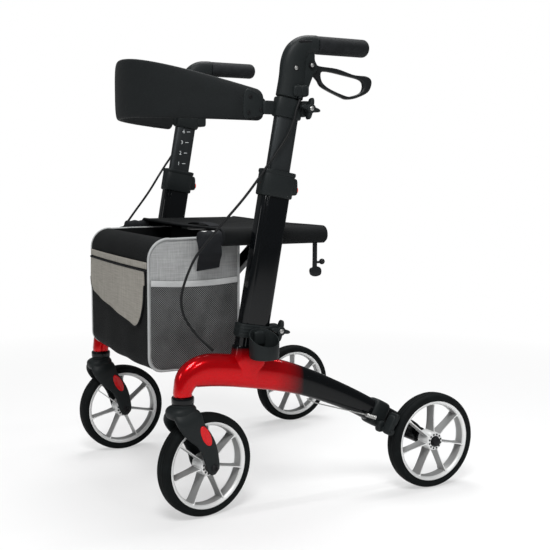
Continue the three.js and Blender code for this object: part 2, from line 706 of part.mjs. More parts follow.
function fork() {
  const shoulder = new THREE.SphereGeometry(1, 14, 8);
  shoulder.scale(FORK_OUTER - 3, 31, 26).translate(0, 1, FORK_TOP - 18);
  const leg = sidePlate(
    smoothShape(
      [
        [-22, FORK_TOP - 8],
        [12, FORK_TOP - 4],
        [26, FORK_TOP - 14],
        [TRAIL - 9, WHEEL_R + 90],
        [TRAIL + 5, WHEEL_R + 58],
        [TRAIL + 12, WHEEL_R + 35],
        [TRAIL + 16, WHEEL_R + 5],
        [TRAIL + 11, WHEEL_R - 12],
        [TRAIL, WHEEL_R - 17],
        [TRAIL - 12, WHEEL_R - 12],
        [TRAIL - 19, WHEEL_R + 10],
        [TRAIL - 25, WHEEL_R + 47],
        [TRAIL - 41, WHEEL_R + 71],
        [-14, FORK_TOP - 33],
        [-30, FORK_TOP - 19],
      ],
      26,
    ),
    -FORK_OUTER,
    FORK_OUTER,
  );
  const round = bar("z", FORK_OUTER + 26, 0, FORK_TOP + 20, 0, 20, 24);
  const bearingSeat = bar("z", BEARING_R - 1, FORK_TOP - 16, FORK_TOP, 0, 0);
  const wheelSpace = bar("x", WHEEL_R + 5, -FORK_INNER, FORK_INNER, TRAIL, WHEEL_R, 36);
  const below = block(-FORK_INNER, FORK_INNER, TRAIL - 40, TRAIL + 60, 0, WHEEL_R + 40);
  const above = block(-50, 50, -60, 100, FORK_TOP, FORK_TOP + 40);
  const axleHole = bar("x", AXLE_R + GAP, -50, 50, TRAIL, WHEEL_R);
  const stemHole = bar("z", STEM_R + GAP, FORK_TOP - 60, FORK_TOP + 30, 0, 0);
  const body = join(leg.intersect(round), solid(shoulder), bearingSeat);
  return cut(body, wheelSpace, below, above, axleHole, stemHole);
}

function frontAxle() {
  return join(
    bar("x", AXLE_R, -FORK_OUTER - 1, FORK_OUTER + 1, TRAIL, WHEEL_R),
    bar("x", 8, FORK_OUTER + GAP, FORK_OUTER + 4, TRAIL, WHEEL_R, 16),
    bar("x", 8, -FORK_OUTER - 4, -FORK_OUTER - GAP, TRAIL, WHEEL_R, 6),
  );
}

function casterStem() {
  const low = WHEEL_R + Math.sqrt((WHEEL_R + 5) ** 2 - TRAIL ** 2) + 1;
  return bar("z", STEM_R, low, HEAD_Z + 24, 0, 0, 20);
}

function headBearing() {
  const profile = [
    [STEM_R + RUN, FORK_TOP + GAP],
    [BEARING_R - 1, FORK_TOP + GAP],
    [BEARING_R, FORK_TOP + 3],
    [BEARING_R, HEAD_Z - GAP - 2],
    [BEARING_R - 1, HEAD_Z - GAP],
    [STEM_R + RUN, HEAD_Z - GAP],
    [STEM_R + RUN, FORK_TOP + GAP],
  ];
  return turnedZ(profile, 20);
}

// ---------- cross brace, rails and seat ----------
function capsule(length, height, holes) {
  const r = height / 2;
  const shape = new THREE.Shape();
  shape.moveTo(0, -r);
  shape.lineTo(length, -r);
  shape.absarc(length, 0, r, -Math.PI / 2, Math.PI / 2);
  shape.lineTo(0, r);
  shape.absarc(0, 0, r, Math.PI / 2, 1.5 * Math.PI);
  for (const [s, radius] of holes) {
    const hole = new THREE.Path();
    hole.absarc(s, 0, radius, 0, 2 * Math.PI);
    shape.holes.push(hole);
  }
  return shape;
}

// Strut from its lower pivot on one side up to the rail on the other; side tells where the pivot is.
function strut(side, laneY) {
  const run = PIVOT_X + RAIL_X;
  const rise = RAIL_Z - PIVOT_Z;
  const length = Math.hypot(run, rise);
  const middle = (length * PIVOT_X) / run;
  const shape = capsule(length, STRUT_H, [
    [0, PIN_R + RUN],
    [middle, PIN_R + RUN],
    [length, RAIL_R + RUN],
  ]);
  const g = new THREE.ExtrudeGeometry(shape, { depth: STRUT_T, bevelEnabled: false, curveSegments: 6 });
  g.rotateX(Math.PI / 2).translate(0, STRUT_T / 2, 0);
  const eye = new THREE.CylinderGeometry(EYE_R, EYE_R, STRUT_T, 20).translate(length, 0, 0);
  const eyeHole = new THREE.CylinderGeometry(RAIL_R + RUN, RAIL_R + RUN, 60, 16).translate(length, 0, 0);
  const body = cut(join(solid(g), solid(eye)), solid(eyeHole));
  const turned = body.rotate([0, (-Math.atan2(rise, run) * 180) / Math.PI, 0]);
  const left = turned.mirror([1, 0, 0]).translate([PIVOT_X, laneY, PIVOT_Z]);
  return mirrored(left, side);
}

function centrePin() {
  const z = PIVOT_Z + ((RAIL_Z - PIVOT_Z) * PIVOT_X) / (PIVOT_X + RAIL_X);
  const reach = STRUT_T + LANE_GAP / 2 + GAP;
  return join(
    bar("y", PIN_R, STRUT_Y - reach - 1, STRUT_Y + reach + 1, 0, z),
    bar("y", PIN_HEAD_R, STRUT_Y - reach - 4, STRUT_Y - reach, 0, z, 18),
    bar("y", PIN_HEAD_R, STRUT_Y + reach, STRUT_Y + reach + 4, 0, z, 6),
  );
}

function seatRail() {
  const cap = 6;
  const profile = [
    [0, RAIL_FRONT],
    [RAIL_R - 2, RAIL_FRONT],
    [RAIL_R, RAIL_FRONT + 2],
    [RAIL_R, RAIL_REAR - 12],
    [RAIL_R + 3, RAIL_REAR - 11],
    [RAIL_R + 3, RAIL_REAR - cap],
    [RAIL_R - 2, RAIL_REAR],
    [0, RAIL_REAR],
  ];
  const g = new THREE.LatheGeometry(profile.map(([r, s]) => new THREE.Vector2(r, s)), 16);
  return solid(g.translate(RAIL_X, 0, RAIL_Z));
}

// Cradle on the upright that the open seat rail drops into.
function seatSaddle(laneY) {
  const rest = RAIL_R + RUN;
  const inner = FRAME_X - UPRIGHT_W / 2 - GAP;
  const half = STRUT_T / 2;
  const body = block(RAIL_X - rest - 4, inner, laneY - half, laneY + half, RAIL_Z - rest - 5, RAIL_Z);
  return cut(body, bar("y", rest, laneY - 20, laneY + 20, RAIL_X, RAIL_Z));
}

function seatFabric() {
  const under = RAIL_Z + RAIL_R + 3 + GAP;
  const edge = RAIL_X + RAIL_R;
  return block(-edge, edge, SEAT_FRONT, SEAT_REAR, under, under + SEAT_T);
}

// Hook strap that hangs from the left rail's rear end and holds the folded frame shut.
const LATCH_Y = RAIL_REAR - 24;

function foldLatch() {
  const rest = RAIL_R + RUN;
  const ring = cut(
    bar("y", rest + 2.5, LATCH_Y - 6, LATCH_Y + 6, RAIL_X, RAIL_Z),
    bar("y", rest, LATCH_Y - 8, LATCH_Y + 8, RAIL_X, RAIL_Z),
  );
  const low = RAIL_Z - 81;
  const strap = block(RAIL_X - 1.5, RAIL_X + 1.5, LATCH_Y - 5, LATCH_Y + 5, low + 14, RAIL_Z - rest - 1);
  const paddle = sidePlate(
    smoothShape(
      [
        [LATCH_Y - 10, low + 14],
        [LATCH_Y + 8, low + 17],
        [LATCH_Y + 15, low + 10],
        [LATCH_Y + 13, low],
        [LATCH_Y, low - 3],
        [LATCH_Y - 10, low + 2],
      ],
      16,
    ),
    RAIL_X - 3,
    RAIL_X + 3,
  );
  const knob = bar("y", 2.5, LATCH_Y, LATCH_Y + 14, RAIL_X, low + 26, 12);
  const ball = new THREE.SphereGeometry(6, 10, 6).translate(RAIL_X, LATCH_Y + 17, low + 27);
  return join(ring, strap, paddle, knob, solid(ball));
}

// ---------- soft pieces ----------
function bagOutline(inset) {
  const y0 = BAG_FRONT + inset;
  const y1 = BAG_REAR - inset;
  const z0 = BAG_BOTTOM + inset;
  const shape = new THREE.Shape();
  const low = 26 - inset;
  const high = 40 - inset;
  const top = BAG_TOP + (inset ? 10 : 0);
  shape.moveTo(y0 + low, z0);
  shape.lineTo(y1 - low, z0);
  shape.absarc(y1 - low, z0 + low, low, -Math.PI / 2, 0);
  shape.lineTo(y1, top);
  if (inset) {
    shape.lineTo(y0 + high, top);
    shape.lineTo(y0 + high, BAG_TOP - inset);
  } else shape.lineTo(y0 + high, top);
  shape.absarc(y0 + high, BAG_TOP - inset - high, high, Math.PI / 2, Math.PI);
  shape.lineTo(y0, z0 + low);
  shape.absarc(y0 + low, z0 + low, low, Math.PI, 1.5 * Math.PI);
  return shape;
}

function bag() {
  const outer = sidePlate(bagOutline(0), -BAG_HALF, BAG_HALF);
  const inner = sidePlate(bagOutline(BAG_WALL), -BAG_HALF + BAG_WALL, BAG_HALF - BAG_WALL);
  return cut(outer, inner);
}

function bagFlap() {
  const shape = new THREE.Shape();
  shape.moveTo(-BAG_HALF + 4, FLAP_HINGE_Z);
  shape.lineTo(-BAG_HALF + 4, FLAP_HINGE_Z - 52);
  shape.quadraticCurveTo(-BAG_HALF + 6, FLAP_HINGE_Z - 72, -BAG_HALF + 32, FLAP_HINGE_Z - 78);
  shape.lineTo(BAG_HALF - 110, FLAP_HINGE_Z - 108);
  shape.quadraticCurveTo(BAG_HALF - 56, FLAP_HINGE_Z - 120, BAG_HALF - 38, FLAP_HINGE_Z - 90);
  shape.lineTo(BAG_HALF - 14, FLAP_HINGE_Z);
  const y = BAG_FRONT - GAP;
  return facePlate(shape, y - FLAP_T, y);
}

// The band's middle line bows forward: y = end - bow * (1 - (x / half)^2).
function backrest() {
  const half = FRAME_X - 3 - 5 - GAP - BAND_T / 2;
  const stations = 18;
  const rings = [];
  for (let i = 0; i <= stations; i++) {
    const x = (2 * half * i) / stations - half;
    const k = 1 - (x / half) ** 2;
    const y = BAND_END_Y - 4 - BAND_BOW * k;
    const slope = (2 * BAND_BOW * x) / half ** 2;
    const across = new THREE.Vector3(slope, -1, 0).normalize();
    const low = CLAMP_Z - 24 + 9 * k;
    const high = CLAMP_Z + 33 + 70 * k;
    const t = BAND_T / 2;
    rings.push(
      [
        [t, low + 3],
        [t - 3, low],
        [-t + 3, low],
        [-t, low + 3],
        [-t, high - 3],
        [-t + 3, high],
        [t - 3, high],
        [t, high - 3],
      ].map(([d, z]) => new THREE.Vector3(x, y, z).addScaledVector(across, d)),
    );
  }
  return loft(rings);
}

// ---------- cane cup on the left upright ----------
const CUP_STRAP_WALL = 4;
const CUP_KNOB_Y = uprightY(CUP_CLAMP_Z) + UPRIGHT_D / 2 + 18;

function caneCup() {
  const base = turnedZ(
    [
      [0, CUP_BOTTOM],
      [CUP_R - 5, CUP_BOTTOM],
      [CUP_R - 1, CUP_BOTTOM + 5],
      [CUP_R, CUP_BACK_Z + 10],
      [CUP_R - CUP_WALL, CUP_BACK_Z + 10],
      [CUP_R - CUP_WALL - 1, CUP_BOTTOM + 4],
      [0, CUP_BOTTOM + 4],
    ],
    22,
  ).translate([CUP_X, CUP_Y, 0]);
  const slope = Math.atan2(CUP_FRONT_Z - CUP_BACK_Z, 2 * CUP_R);
  const knife = new THREE.BoxGeometry(120, 120, 80).translate(0, 0, 40).rotateY(-slope);
  knife.translate(CUP_X, CUP_Y, (CUP_BACK_Z + CUP_FRONT_Z) / 2);
  const z0 = CUP_CLAMP_Z - CUP_CLAMP_H / 2;
  const z1 = CUP_CLAMP_Z + CUP_CLAMP_H / 2;
  const fit = 2 * (CUP_STRAP_WALL + GAP);
  const strap = leaningBar(roundedRect(UPRIGHT_W + fit, UPRIGHT_D + fit, 15), FRAME_X, z0, z1);
  const section = roundedRect(UPRIGHT_W + 2 * GAP, UPRIGHT_D + 2 * GAP, 12.3);
  const inside = leaningBar(section, FRAME_X, z0 - 5, z1 + 5);
  const rear = uprightY(CUP_CLAMP_Z) + UPRIGHT_D / 2 + CUP_STRAP_WALL;
  const ears = block(FRAME_X - 11, FRAME_X + KNOB_SEAT, rear - 4, CUP_KNOB_Y + 10, z0 + 2, z1 - 2);
  const split = block(FRAME_X - 2, FRAME_X + 2, rear - 8, CUP_KNOB_Y + 12, z0 - 2, z1 + 2);
  const hole = bar("x", SCREW_R + RUN, FRAME_X - 30, FRAME_X + 30, CUP_KNOB_Y, CUP_CLAMP_Z, 12);
  const bridge = block(
    FRAME_X + UPRIGHT_W / 2,
    CUP_X - CUP_R + 4,
    CUP_Y - 12,
    CUP_Y + 12,
    CUP_BOTTOM + 22,
    CUP_BACK_Z - 4,
  );
  const room = bar("z", CUP_R - CUP_WALL, CUP_BOTTOM + 8, CUP_BACK_Z + 40, CUP_X, CUP_Y, 22);
  const foot = leaningBar(roundedRect(UPRIGHT_W + 5, UPRIGHT_D + 9, 14), FRAME_X, UPRIGHT_FOOT - 28, FOOT_TOP + GAP);
  const cup = join(cut(base, solid(knife)), cut(bridge, room, inside, foot));
  return join(cup, cut(join(cut(strap, inside), ears), split, hole, inside));
}

function cupKnob() {
  const face = FRAME_X + KNOB_SEAT + GAP;
  return join(
    starKnob(face, face + KNOB_T, CUP_KNOB_Y, CUP_CLAMP_Z),
    bar("x", SCREW_R, FRAME_X - 12, face + 1, CUP_KNOB_Y, CUP_CLAMP_Z, 12),
  );
}

// ---------- brake cables ----------
// Hand-chosen points from the lever down to the beam: outward from the clamp's side, rearward of the
// upright's axis, and the share of the height between the two ends.
const CABLE_OUT = TUBE_W / 2 + CLAMP_WALL + CABLE_R + 0.5;
const CABLE_LOW = HEAD_Z + 81.5;
const CABLE_TOP = HOUSING_LOW - 2;
const CABLE_ROUTE = [
  [0, 14.9, 1],
  [1, 12.5, 0.981],
  [2, 8.9, 0.952],
  [2.5, 7.2, 0.912],
  [1.5, -1.6, 0.849],
  [-0.5, -18.1, 0.782],
  [-2.5, -30.5, 0.737],
  [-4.5, -43.3, 0.687],
  [-12.5, -67.1, 0.599],
  [-23.5, -102.9, 0.487],
  [-32.5, -133.5, 0.384],
  [-39.5, -143.6, 0.313],
  [-42.5, -148.7, 0.242],
  [-41.5, -147.6, 0.191],
  [-37.5, -137.9, 0.134],
  [-29.5, -113.4, 0.067],
  [-21.5, -90.8, 0.023],
  [-17.5, -77.9, 0],
];

function cablePoint([out, back, share]) {
  const z = CABLE_LOW + share * (CABLE_TOP - CABLE_LOW);
  return [FRAME_X + CABLE_OUT + out, uprightY(z) + back, z];
}

function brakeCable() {
  const path = new THREE.CatmullRomCurve3(CABLE_ROUTE.map((p) => new THREE.Vector3(...cablePoint(p))));
  const section = new THREE.Shape();
  section.absarc(0, 0, CABLE_R, 0, 2 * Math.PI);
  return solid(new THREE.ExtrudeGeometry(section, { steps: 34, extrudePath: path, curveSegments: 4 }));
}

// ---------- assembly ----------
for (const [name, side] of [
  ["left", 1],
  ["right", -1],
]) {
  const laneY = PIVOT_LANES[name];
  const put = (piece, body, material) => place(`${name}_${piece}`, mirrored(body, side), material);
  put("side_beam", beam(laneY), redPaint);
  put("upright", upright(), blackPaint);
  put("height_collar", heightCollar(), blackPlastic);
  put("height_button", heightButton(), redPlastic);
  put("seat_saddle", seatSaddle(laneY), blackPlastic);
  put("brake_bracket", brakeBracket(), blackPlastic);
  put("brake_shoe", brakeShoe(), blackPlastic);
  put("rear_axle", rearAxle(), steel);
  put("handle_tube", handleTube(), darkTube);
  put("handle_housing", handleHousing(), blackPlastic);
  put("grip", grip(), softGrip);
  put("brake_lever", brakeLever(), blackPlastic);
  put("lever_pin", leverPin(), steel);
  put("backrest_clamp", backrestClamp(), blackPlastic);
  put("clamp_knob", clampKnob(), blackPlastic);
  put("brake_cable", brakeCable(), blackPlastic);
  put("seat_rail", seatRail(), blackPaint);

  const rearWheel = new THREE.Group();
  rearWheel.position.set(side * WHEEL_X, REAR_AXLE_Y, WHEEL_R);
  place(`${name}_rear_tyre`, tyre(), tyreRubber, rearWheel);
  place(`${name}_rear_rim`, rim(), silverRim, rearWheel);

  const caster = new THREE.Group();
  caster.position.set(side * FRAME_X, STEER_Y, 0);
  caster.rotation.z = THREE.MathUtils.degToRad(CASTER_TURN[name]);
  place(`${name}_fork`, fork(), blackPlastic, caster);
  place(`${name}_caster_stem`, casterStem(), steel, caster);
  place(`${name}_head_bearing`, headBearing(), blackPlastic, caster);
  place(`${name}_front_axle`, frontAxle(), steel, caster);
  const frontWheel = new THREE.Group();
  frontWheel.position.set(0, TRAIL, WHEEL_R);
  place(`${name}_front_tyre`, tyre(), tyreRubber, frontWheel);
  place(`${name}_front_rim`, rim(), silverRim, frontWheel);
  caster.add(frontWheel);
  group.add(rearWheel, caster);
}

place("strut_a", strut(1, PIVOT_LANES.left), blackPaint);
place("strut_b", strut(-1, PIVOT_LANES.right), blackPaint);
place("centre_pin", centrePin(), steel);
place("seat_fabric", seatFabric(), blackCloth);
place("fold_latch", foldLatch(), blackPlastic);
place("bag", bag(), greyCloth);
place("bag_flap", bagFlap(), beigeCloth);
place("backrest", backrest(), foam);
place("cane_cup", caneCup(), blackPlastic);
place("cup_knob", cupKnob(), blackPlastic);

export default group;
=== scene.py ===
"""A folding four-wheeled walker: its looks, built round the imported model.

Run as a script it builds every piece in order. The operators are also listed in the 3D view's sidebar.
Lengths are in metres in the model's own frame: +X the user's left, +Y the rear, +Z up.
"""

import math
import bpy
import numpy as np
from mathutils import Matrix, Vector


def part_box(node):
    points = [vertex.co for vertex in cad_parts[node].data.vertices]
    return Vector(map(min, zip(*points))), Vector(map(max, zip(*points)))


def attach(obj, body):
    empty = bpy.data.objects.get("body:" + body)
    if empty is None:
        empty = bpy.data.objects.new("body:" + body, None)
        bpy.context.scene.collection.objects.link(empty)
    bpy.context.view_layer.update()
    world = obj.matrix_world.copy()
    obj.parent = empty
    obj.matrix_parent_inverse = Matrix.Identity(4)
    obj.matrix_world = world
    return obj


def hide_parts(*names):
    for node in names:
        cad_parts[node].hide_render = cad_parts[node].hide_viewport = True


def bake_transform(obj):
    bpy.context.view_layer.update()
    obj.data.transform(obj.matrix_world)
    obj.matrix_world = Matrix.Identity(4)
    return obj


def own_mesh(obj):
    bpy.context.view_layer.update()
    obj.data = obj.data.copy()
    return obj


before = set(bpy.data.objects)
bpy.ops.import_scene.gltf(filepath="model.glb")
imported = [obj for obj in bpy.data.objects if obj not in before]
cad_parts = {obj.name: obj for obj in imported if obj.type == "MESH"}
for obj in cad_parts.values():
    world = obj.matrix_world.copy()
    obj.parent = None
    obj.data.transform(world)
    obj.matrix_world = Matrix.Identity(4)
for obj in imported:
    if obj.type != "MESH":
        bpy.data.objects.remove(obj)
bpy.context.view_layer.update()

bl_info = {
    "name": "Folding walker",
    "version": (1, 0, 0),
    "blender": (4, 5, 0),
    "location": "3D View > Sidebar > Walker",
    "description": "Builds the pieces and finishes of a folding four-wheeled walker",
    "category": "Add Mesh",
}

SIDES = (("left", 1.0), ("right", -1.0))

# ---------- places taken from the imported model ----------


def low(node):
    return np.array(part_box(node)[0])


def high(node):
    return np.array(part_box(node)[1])


def middle(node):
    return (low(node) + high(node)) / 2


WHEEL_R = middle("left_rear_tyre")[2]
REAR_AXLE = middle("left_rear_tyre")
FRAME_X = (low("left_upright")[0] + high("left_upright")[0]) / 2
STEER_Y = middle("left_head_bearing")[1]
HEAD_Z = high("left_head_bearing")[2] + 0.0003
GRIP_Z = middle("left_grip")[2]
RAIL_X = middle("left_seat_rail")[0]
RAIL_Z = middle("left_seat_rail")[2]
LEAN = math.radians(9.8)  # of the uprights, to the rear
CASTER_TURN = {"left": math.radians(10), "right": math.radians(2)}
TRAIL = 0.049  # front axle behind the steering axis
KNOB_R = 0.021  # reach of a hand knob's lobes
STRUT_HALF = 0.009  # half a brace strut's thickness
PIVOT_X, PIVOT_Z = 0.222, 0.275  # lower pivot of each strut
PIVOT_Y = {"left": -0.125, "right": -0.105}  # lane of the strut at that side's pivot
COLLAR_TOP = 0.659
CLAMP_Z = 0.779
CUP_Z = 0.353  # middle of the cup's strap


def upright_y(z):
    """The leaning upright's axis: y rises with z at the lean's tangent."""
    return -0.1405 + (z - 0.4) * math.tan(LEAN)


# ---------- numbers a user may change ----------


def colour(label, text, default):
    return bpy.props.FloatVectorProperty(
        name=label,
        description=text,
        default=default,
        subtype="COLOR",
        size=3,
        min=0,
        max=1,
    )


class WalkerPaint(bpy.types.PropertyGroup):
    """Colours of the painted and moulded pieces."""

    beam_red: colour("Beam red", "Metallic red of the side beams", (0.50, 0.0, 0.003))
    black: colour("Frame black", "Gloss black of uprights and brace", (0.0018, 0.0024, 0.003))
    moulded: colour("Moulded black", "Textured plastic of handles and clamps", (0.010, 0.0125, 0.0130))
    silver: colour("Rim silver", "Moulded rims", (0.74, 0.745, 0.74))
    button: colour("Button red", "Height buttons", (0.83, 0.07, 0.035))
    reflector: colour("Reflector red", "Fork inserts", (0.62, 0.0, 0.004))


class WalkerCloth(bpy.types.PropertyGroup):
    """Colours and weave of the soft pieces."""

    black: colour("Black cloth", "Seat, bag front and lining", (0.0055, 0.0062, 0.0065))
    grey: colour("Side panel grey", "Bag side panels", (0.30, 0.305, 0.305))
    beige: colour("Flap grey", "Bag band and flap", (0.29, 0.275, 0.245))
    foam: colour("Foam", "Backrest band", (0.0055, 0.0070, 0.0075))
    thread: bpy.props.FloatProperty(
        name="Thread spacing",
        description="Distance between threads of the weave",
        default=0.0011,
        min=0.0004,
        max=0.004,
        unit="LENGTH",
    )


class WalkerWheels(bpy.types.PropertyGroup):
    """Sizes of the wheels' details."""

    spokes: bpy.props.IntProperty(name="Spokes", description="Spokes in each rim", default=7, min=3, max=12)
    spoke_thickness: bpy.props.FloatProperty(
        name="Spoke thickness",
        description="Thickness of a spoke at its front edge",
        default=0.0042,
        min=0.002,
        max=0.01,
        unit="LENGTH",
    )


# ---------- surfaces ----------


def put_mesh(name, points, faces, smooth_angle=38):
    """An object of that name, at the origin, with its place in its mesh."""
    mesh = bpy.data.meshes.new(name)
    mesh.from_pydata(np.asarray(points, float).tolist(), [], faces)
    mesh.update()
    obj = bpy.data.objects.new(name, mesh)
    bpy.context.scene.collection.objects.link(obj)
    mesh.shade_smooth()
    if smooth_angle:
        mesh.set_sharp_from_angle(angle=math.radians(smooth_angle))
    return obj


def skin(name, grid, ring=True, capped=True, loop=False, smooth_angle=38):
    """Quads over a grid of points [along, around].

    ring joins the last column to the first, loop the last row to the first, and capped closes both ends.
    Faces are turned outwards by the sign of the volume.
    """
    grid = np.asarray(grid, float)
    rows, cols = grid.shape[:2]
    i = np.arange(rows if loop else rows - 1)[:, None]
    j = np.arange(cols if ring else cols - 1)[None, :]
    a = i * cols + j
    b = i * cols + (j + 1) % cols
    c = ((i + 1) % rows) * cols + (j + 1) % cols
    d = ((i + 1) % rows) * cols + j
    quads = np.stack([a + 0 * b, b, c, d], -1).reshape(-1, 4)
    flat = grid.reshape(-1, 3)
    centred = flat - flat.mean(0)
    pa, pb, pc, pd = (centred[quads[:, k]] for k in range(4))
    size = (pa * (np.cross(pb, pc) + np.cross(pc, pd))).sum()
    faces = (quads if size > 0 else quads[:, ::-1]).tolist()
    if capped and ring and not loop:
        first, last = list(range(cols)), list(range((rows - 1) * cols, rows * cols))
        faces += [first[::-1], last] if size > 0 else [first, last[::-1]]
    return put_mesh(name, flat, faces, smooth_angle)


def spline(points, count, closed=False):
    """Catmull-Rom curve through points: each span is the cubic of its four nearest points."""
    p = np.asarray(points, float)
    n = len(p)
    t = np.linspace(0, n if closed else n - 1, count, endpoint=not closed)
    i = np.minimum(t.astype(int), n - 1 if closed else n - 2)
    f = (t - i)[:, None]
    if closed:
        q = [p[(i + k) % n] for k in (-1, 0, 1, 2)]
    else:
        pad = np.vstack([2 * p[0] - p[1], p, 2 * p[-1] - p[-2]])
        q = [pad[i + k] for k in range(4)]
    return 0.5 * (
        2 * q[1]
        + (q[2] - q[0]) * f
        + (2 * q[0] - 5 * q[1] + 4 * q[2] - q[3]) * f**2
        + (3 * q[1] - q[0] - 3 * q[2] + q[3]) * f**3
    )


def even(points, count, closed=False):
    """The same curve at equal steps of arc length."""
    p = np.vstack([points, points[:1]]) if closed else np.asarray(points, float)
    s = np.concatenate([[0], np.cumsum(np.linalg.norm(np.diff(p, axis=0), axis=1))])
    t = np.linspace(0, s[-1], count, endpoint=not closed)
    return np.stack([np.interp(t, s, p[:, k]) for k in range(p.shape[1])], -1)


def unit(v):
    return v / np.maximum(np.linalg.norm(v, axis=-1, keepdims=True), 1e-12)


def superoval(count, power):
    """Unit superellipse: (|cos a|^(2/p) sign, |sin a|^(2/p) sign) for angles a round the turn."""
    a = np.linspace(0, 2 * math.pi, count, endpoint=False)
    c, s = np.cos(a), np.sin(a)
    return np.sign(c) * abs(c) ** (2 / power), np.sign(s) * abs(s) ** (2 / power)


def side_sweep(name, stations, x, count=60, around=32, power=2.0, ends=0.001):
    """Superellipse section carried along a curve in the side plane.

    Stations are (y, z, half height, half width). A point is C(s) + X w(s) cos + N(s) h(s) sin, N the normal
    in the plane. Within ends of either end the section shrinks by ends (1 - a quarter circle).
    """
    curve = spline(stations, 4 * count)
    s = np.concatenate([[0], np.cumsum(np.linalg.norm(np.diff(curve[:, :2], axis=0), axis=1))])
    quarter = ends * (1 - np.cos(np.linspace(0, math.pi / 2, 6)))
    t = np.concatenate([quarter, np.linspace(ends, s[-1] - ends, count)[1:-1], s[-1] - quarter[::-1]])
    rows = np.stack([np.interp(t, s, curve[:, k]) for k in range(4)], -1)
    tangent = unit(np.stack([np.interp(t, s, np.gradient(curve[:, k])) for k in range(2)], -1))
    near = np.minimum(t, s[-1] - t).clip(0, ends) / ends
    shrink = ends * (1 - np.sqrt(1 - (1 - near) ** 2))
    high_, wide = (rows[:, 2] - shrink)[:, None], (rows[:, 3] - shrink)[:, None]
    c, d = superoval(around, power)
    grid = np.empty((len(t), around, 3))
    grid[..., 0] = x + wide * c
    grid[..., 1] = rows[:, :1] - tangent[:, 1:] * high_ * d
    grid[..., 2] = rows[:, 1:2] + tangent[:, :1] * high_ * d
    return skin(name, grid)


def leaning(name, x, z0, z1, half_w, half_d, power=4.0, edge=0.0015, around=48, grooves=()):
    """Rounded-rectangle section along the leaning upright from z0 to z1, both rims eased by edge.

    Each groove is a bell-shaped dip 1.2 mm deep in the two flat faces, at that distance aft of the axis.
    """
    z = np.array([z0, z0 + edge * 0.3, z0 + edge, z1 - edge, z1 - edge * 0.3, z1])
    shrink = np.array([edge, edge * 0.3, 0, 0, edge * 0.3, edge])
    c, d = superoval(around, power)
    dip = sum((np.exp(-(((d * half_d - g) / 0.0016) ** 2)) for g in grooves), 0 * d)
    w = (half_w - shrink)[:, None] * c - 0.0012 * dip * np.sign(c)
    t = (half_d - shrink)[:, None] * d
    grid = np.empty((len(z), around, 3))
    grid[..., 0] = x + w
    grid[..., 1] = upright_y(z)[:, None] + t * math.cos(LEAN)
    grid[..., 2] = z[:, None] - t * math.sin(LEAN)
    return skin(name, grid)


def turned(name, profile, centre, axis="x", around=48, spin=None, loop=False):
    """A profile of (radius, station) turned round an axis: (s, r cos a, r sin a)."""
    p = np.asarray(profile, float)
    a = np.linspace(0, 2 * math.pi, around, endpoint=False)
    r, s = p[:, :1], p[:, 1:2] + 0 * a
    u, v = r * np.cos(a), r * np.sin(a)
    order = {"x": (s, u, v), "y": (v, s, u), "z": (u, v, s)}[axis]
    grid = np.stack(order, -1)
    if spin is not None:
        grid = grid @ np.asarray(spin).T
    return skin(name, grid + np.asarray(centre), loop=loop)


def tube(name, path, radius, around=14, hint=(1, 0, 0), power=2.0, other=None, loop=False):
    """A section carried along any path: C + U r cos + V q sin, U square to the path and nearest to hint.

    r is radius and q is other, or radius again.
    """
    p = np.asarray(path, float)
    tangent = unit(np.roll(p, -1, 0) - np.roll(p, 1, 0) if loop else np.gradient(p, axis=0))
    hint = np.broadcast_to(np.asarray(hint, float), p.shape)
    u = unit(hint - (hint * tangent).sum(1, keepdims=True) * tangent)
    v = np.cross(tangent, u)
    c, s = superoval(around, power)
    r, q = (
        np.broadcast_to(np.asarray(k, float), (len(p),))[:, None, None]
        for k in (radius, radius if other is None else other)
    )
    grid = p[:, None] + u[:, None] * c[:, None] * r + v[:, None] * s[:, None] * q
    return skin(name, grid, loop=loop)


def slab(name, outline, lo, hi, axis="x", edge=0.0015, smooth_angle=38):
    """An outline given thickness along an axis, with its rims rounded by edge.

    Rings run from the low face to the high one; each is the outline moved in by edge (1 - sin t).
    """
    p = np.asarray(outline, float)
    tangent = unit(np.roll(p, -1, 0) - np.roll(p, 1, 0))
    inward = np.stack([-tangent[:, 1], tangent[:, 0]], -1)
    area = (p[:, 0] * np.roll(p[:, 1], -1) - p[:, 1] * np.roll(p[:, 0], -1)).sum()
    inward *= 1 if area > 0 else -1
    t = np.linspace(0, math.pi / 2, 4)
    steps = np.concatenate([lo + edge * (1 - np.cos(t)), hi - edge * (1 - np.cos(t))[::-1]])
    inset = np.concatenate([edge * (1 - np.sin(t)), edge * (1 - np.sin(t))[::-1]])
    flat = p[None] + inset[:, None, None] * inward
    s = np.broadcast_to(steps[:, None], flat.shape[:2])
    order = {"x": (s, flat[..., 0], flat[..., 1]), "y": (flat[..., 0], s, flat[..., 1])}
    order["z"] = (flat[..., 0], flat[..., 1], s)
    return skin(name, np.stack(order[axis], -1), smooth_angle=smooth_angle)


def lump(name, centre, half, power=4.0, tilt=0.0, count=28):
    """A rounded block: centre + half * (superellipse latitude times superellipse longitude)."""
    lat = np.linspace(-math.pi / 2, math.pi / 2, count + 1)
    e = 2 / power
    cl, sl = np.cos(lat).clip(1e-9) ** e, np.sign(np.sin(lat)) * abs(np.sin(lat)) ** e
    c, s = superoval(2 * count, power)
    grid = np.stack([cl[:, None] * c, cl[:, None] * s, sl[:, None] + 0 * c], -1) * np.asarray(half)
    ct, st = math.cos(tilt), math.sin(tilt)
    turn = np.array([[1, 0, 0], [0, ct, -st], [0, st, ct]])
    return skin(name, grid @ turn.T + np.asarray(centre), smooth_angle=50)


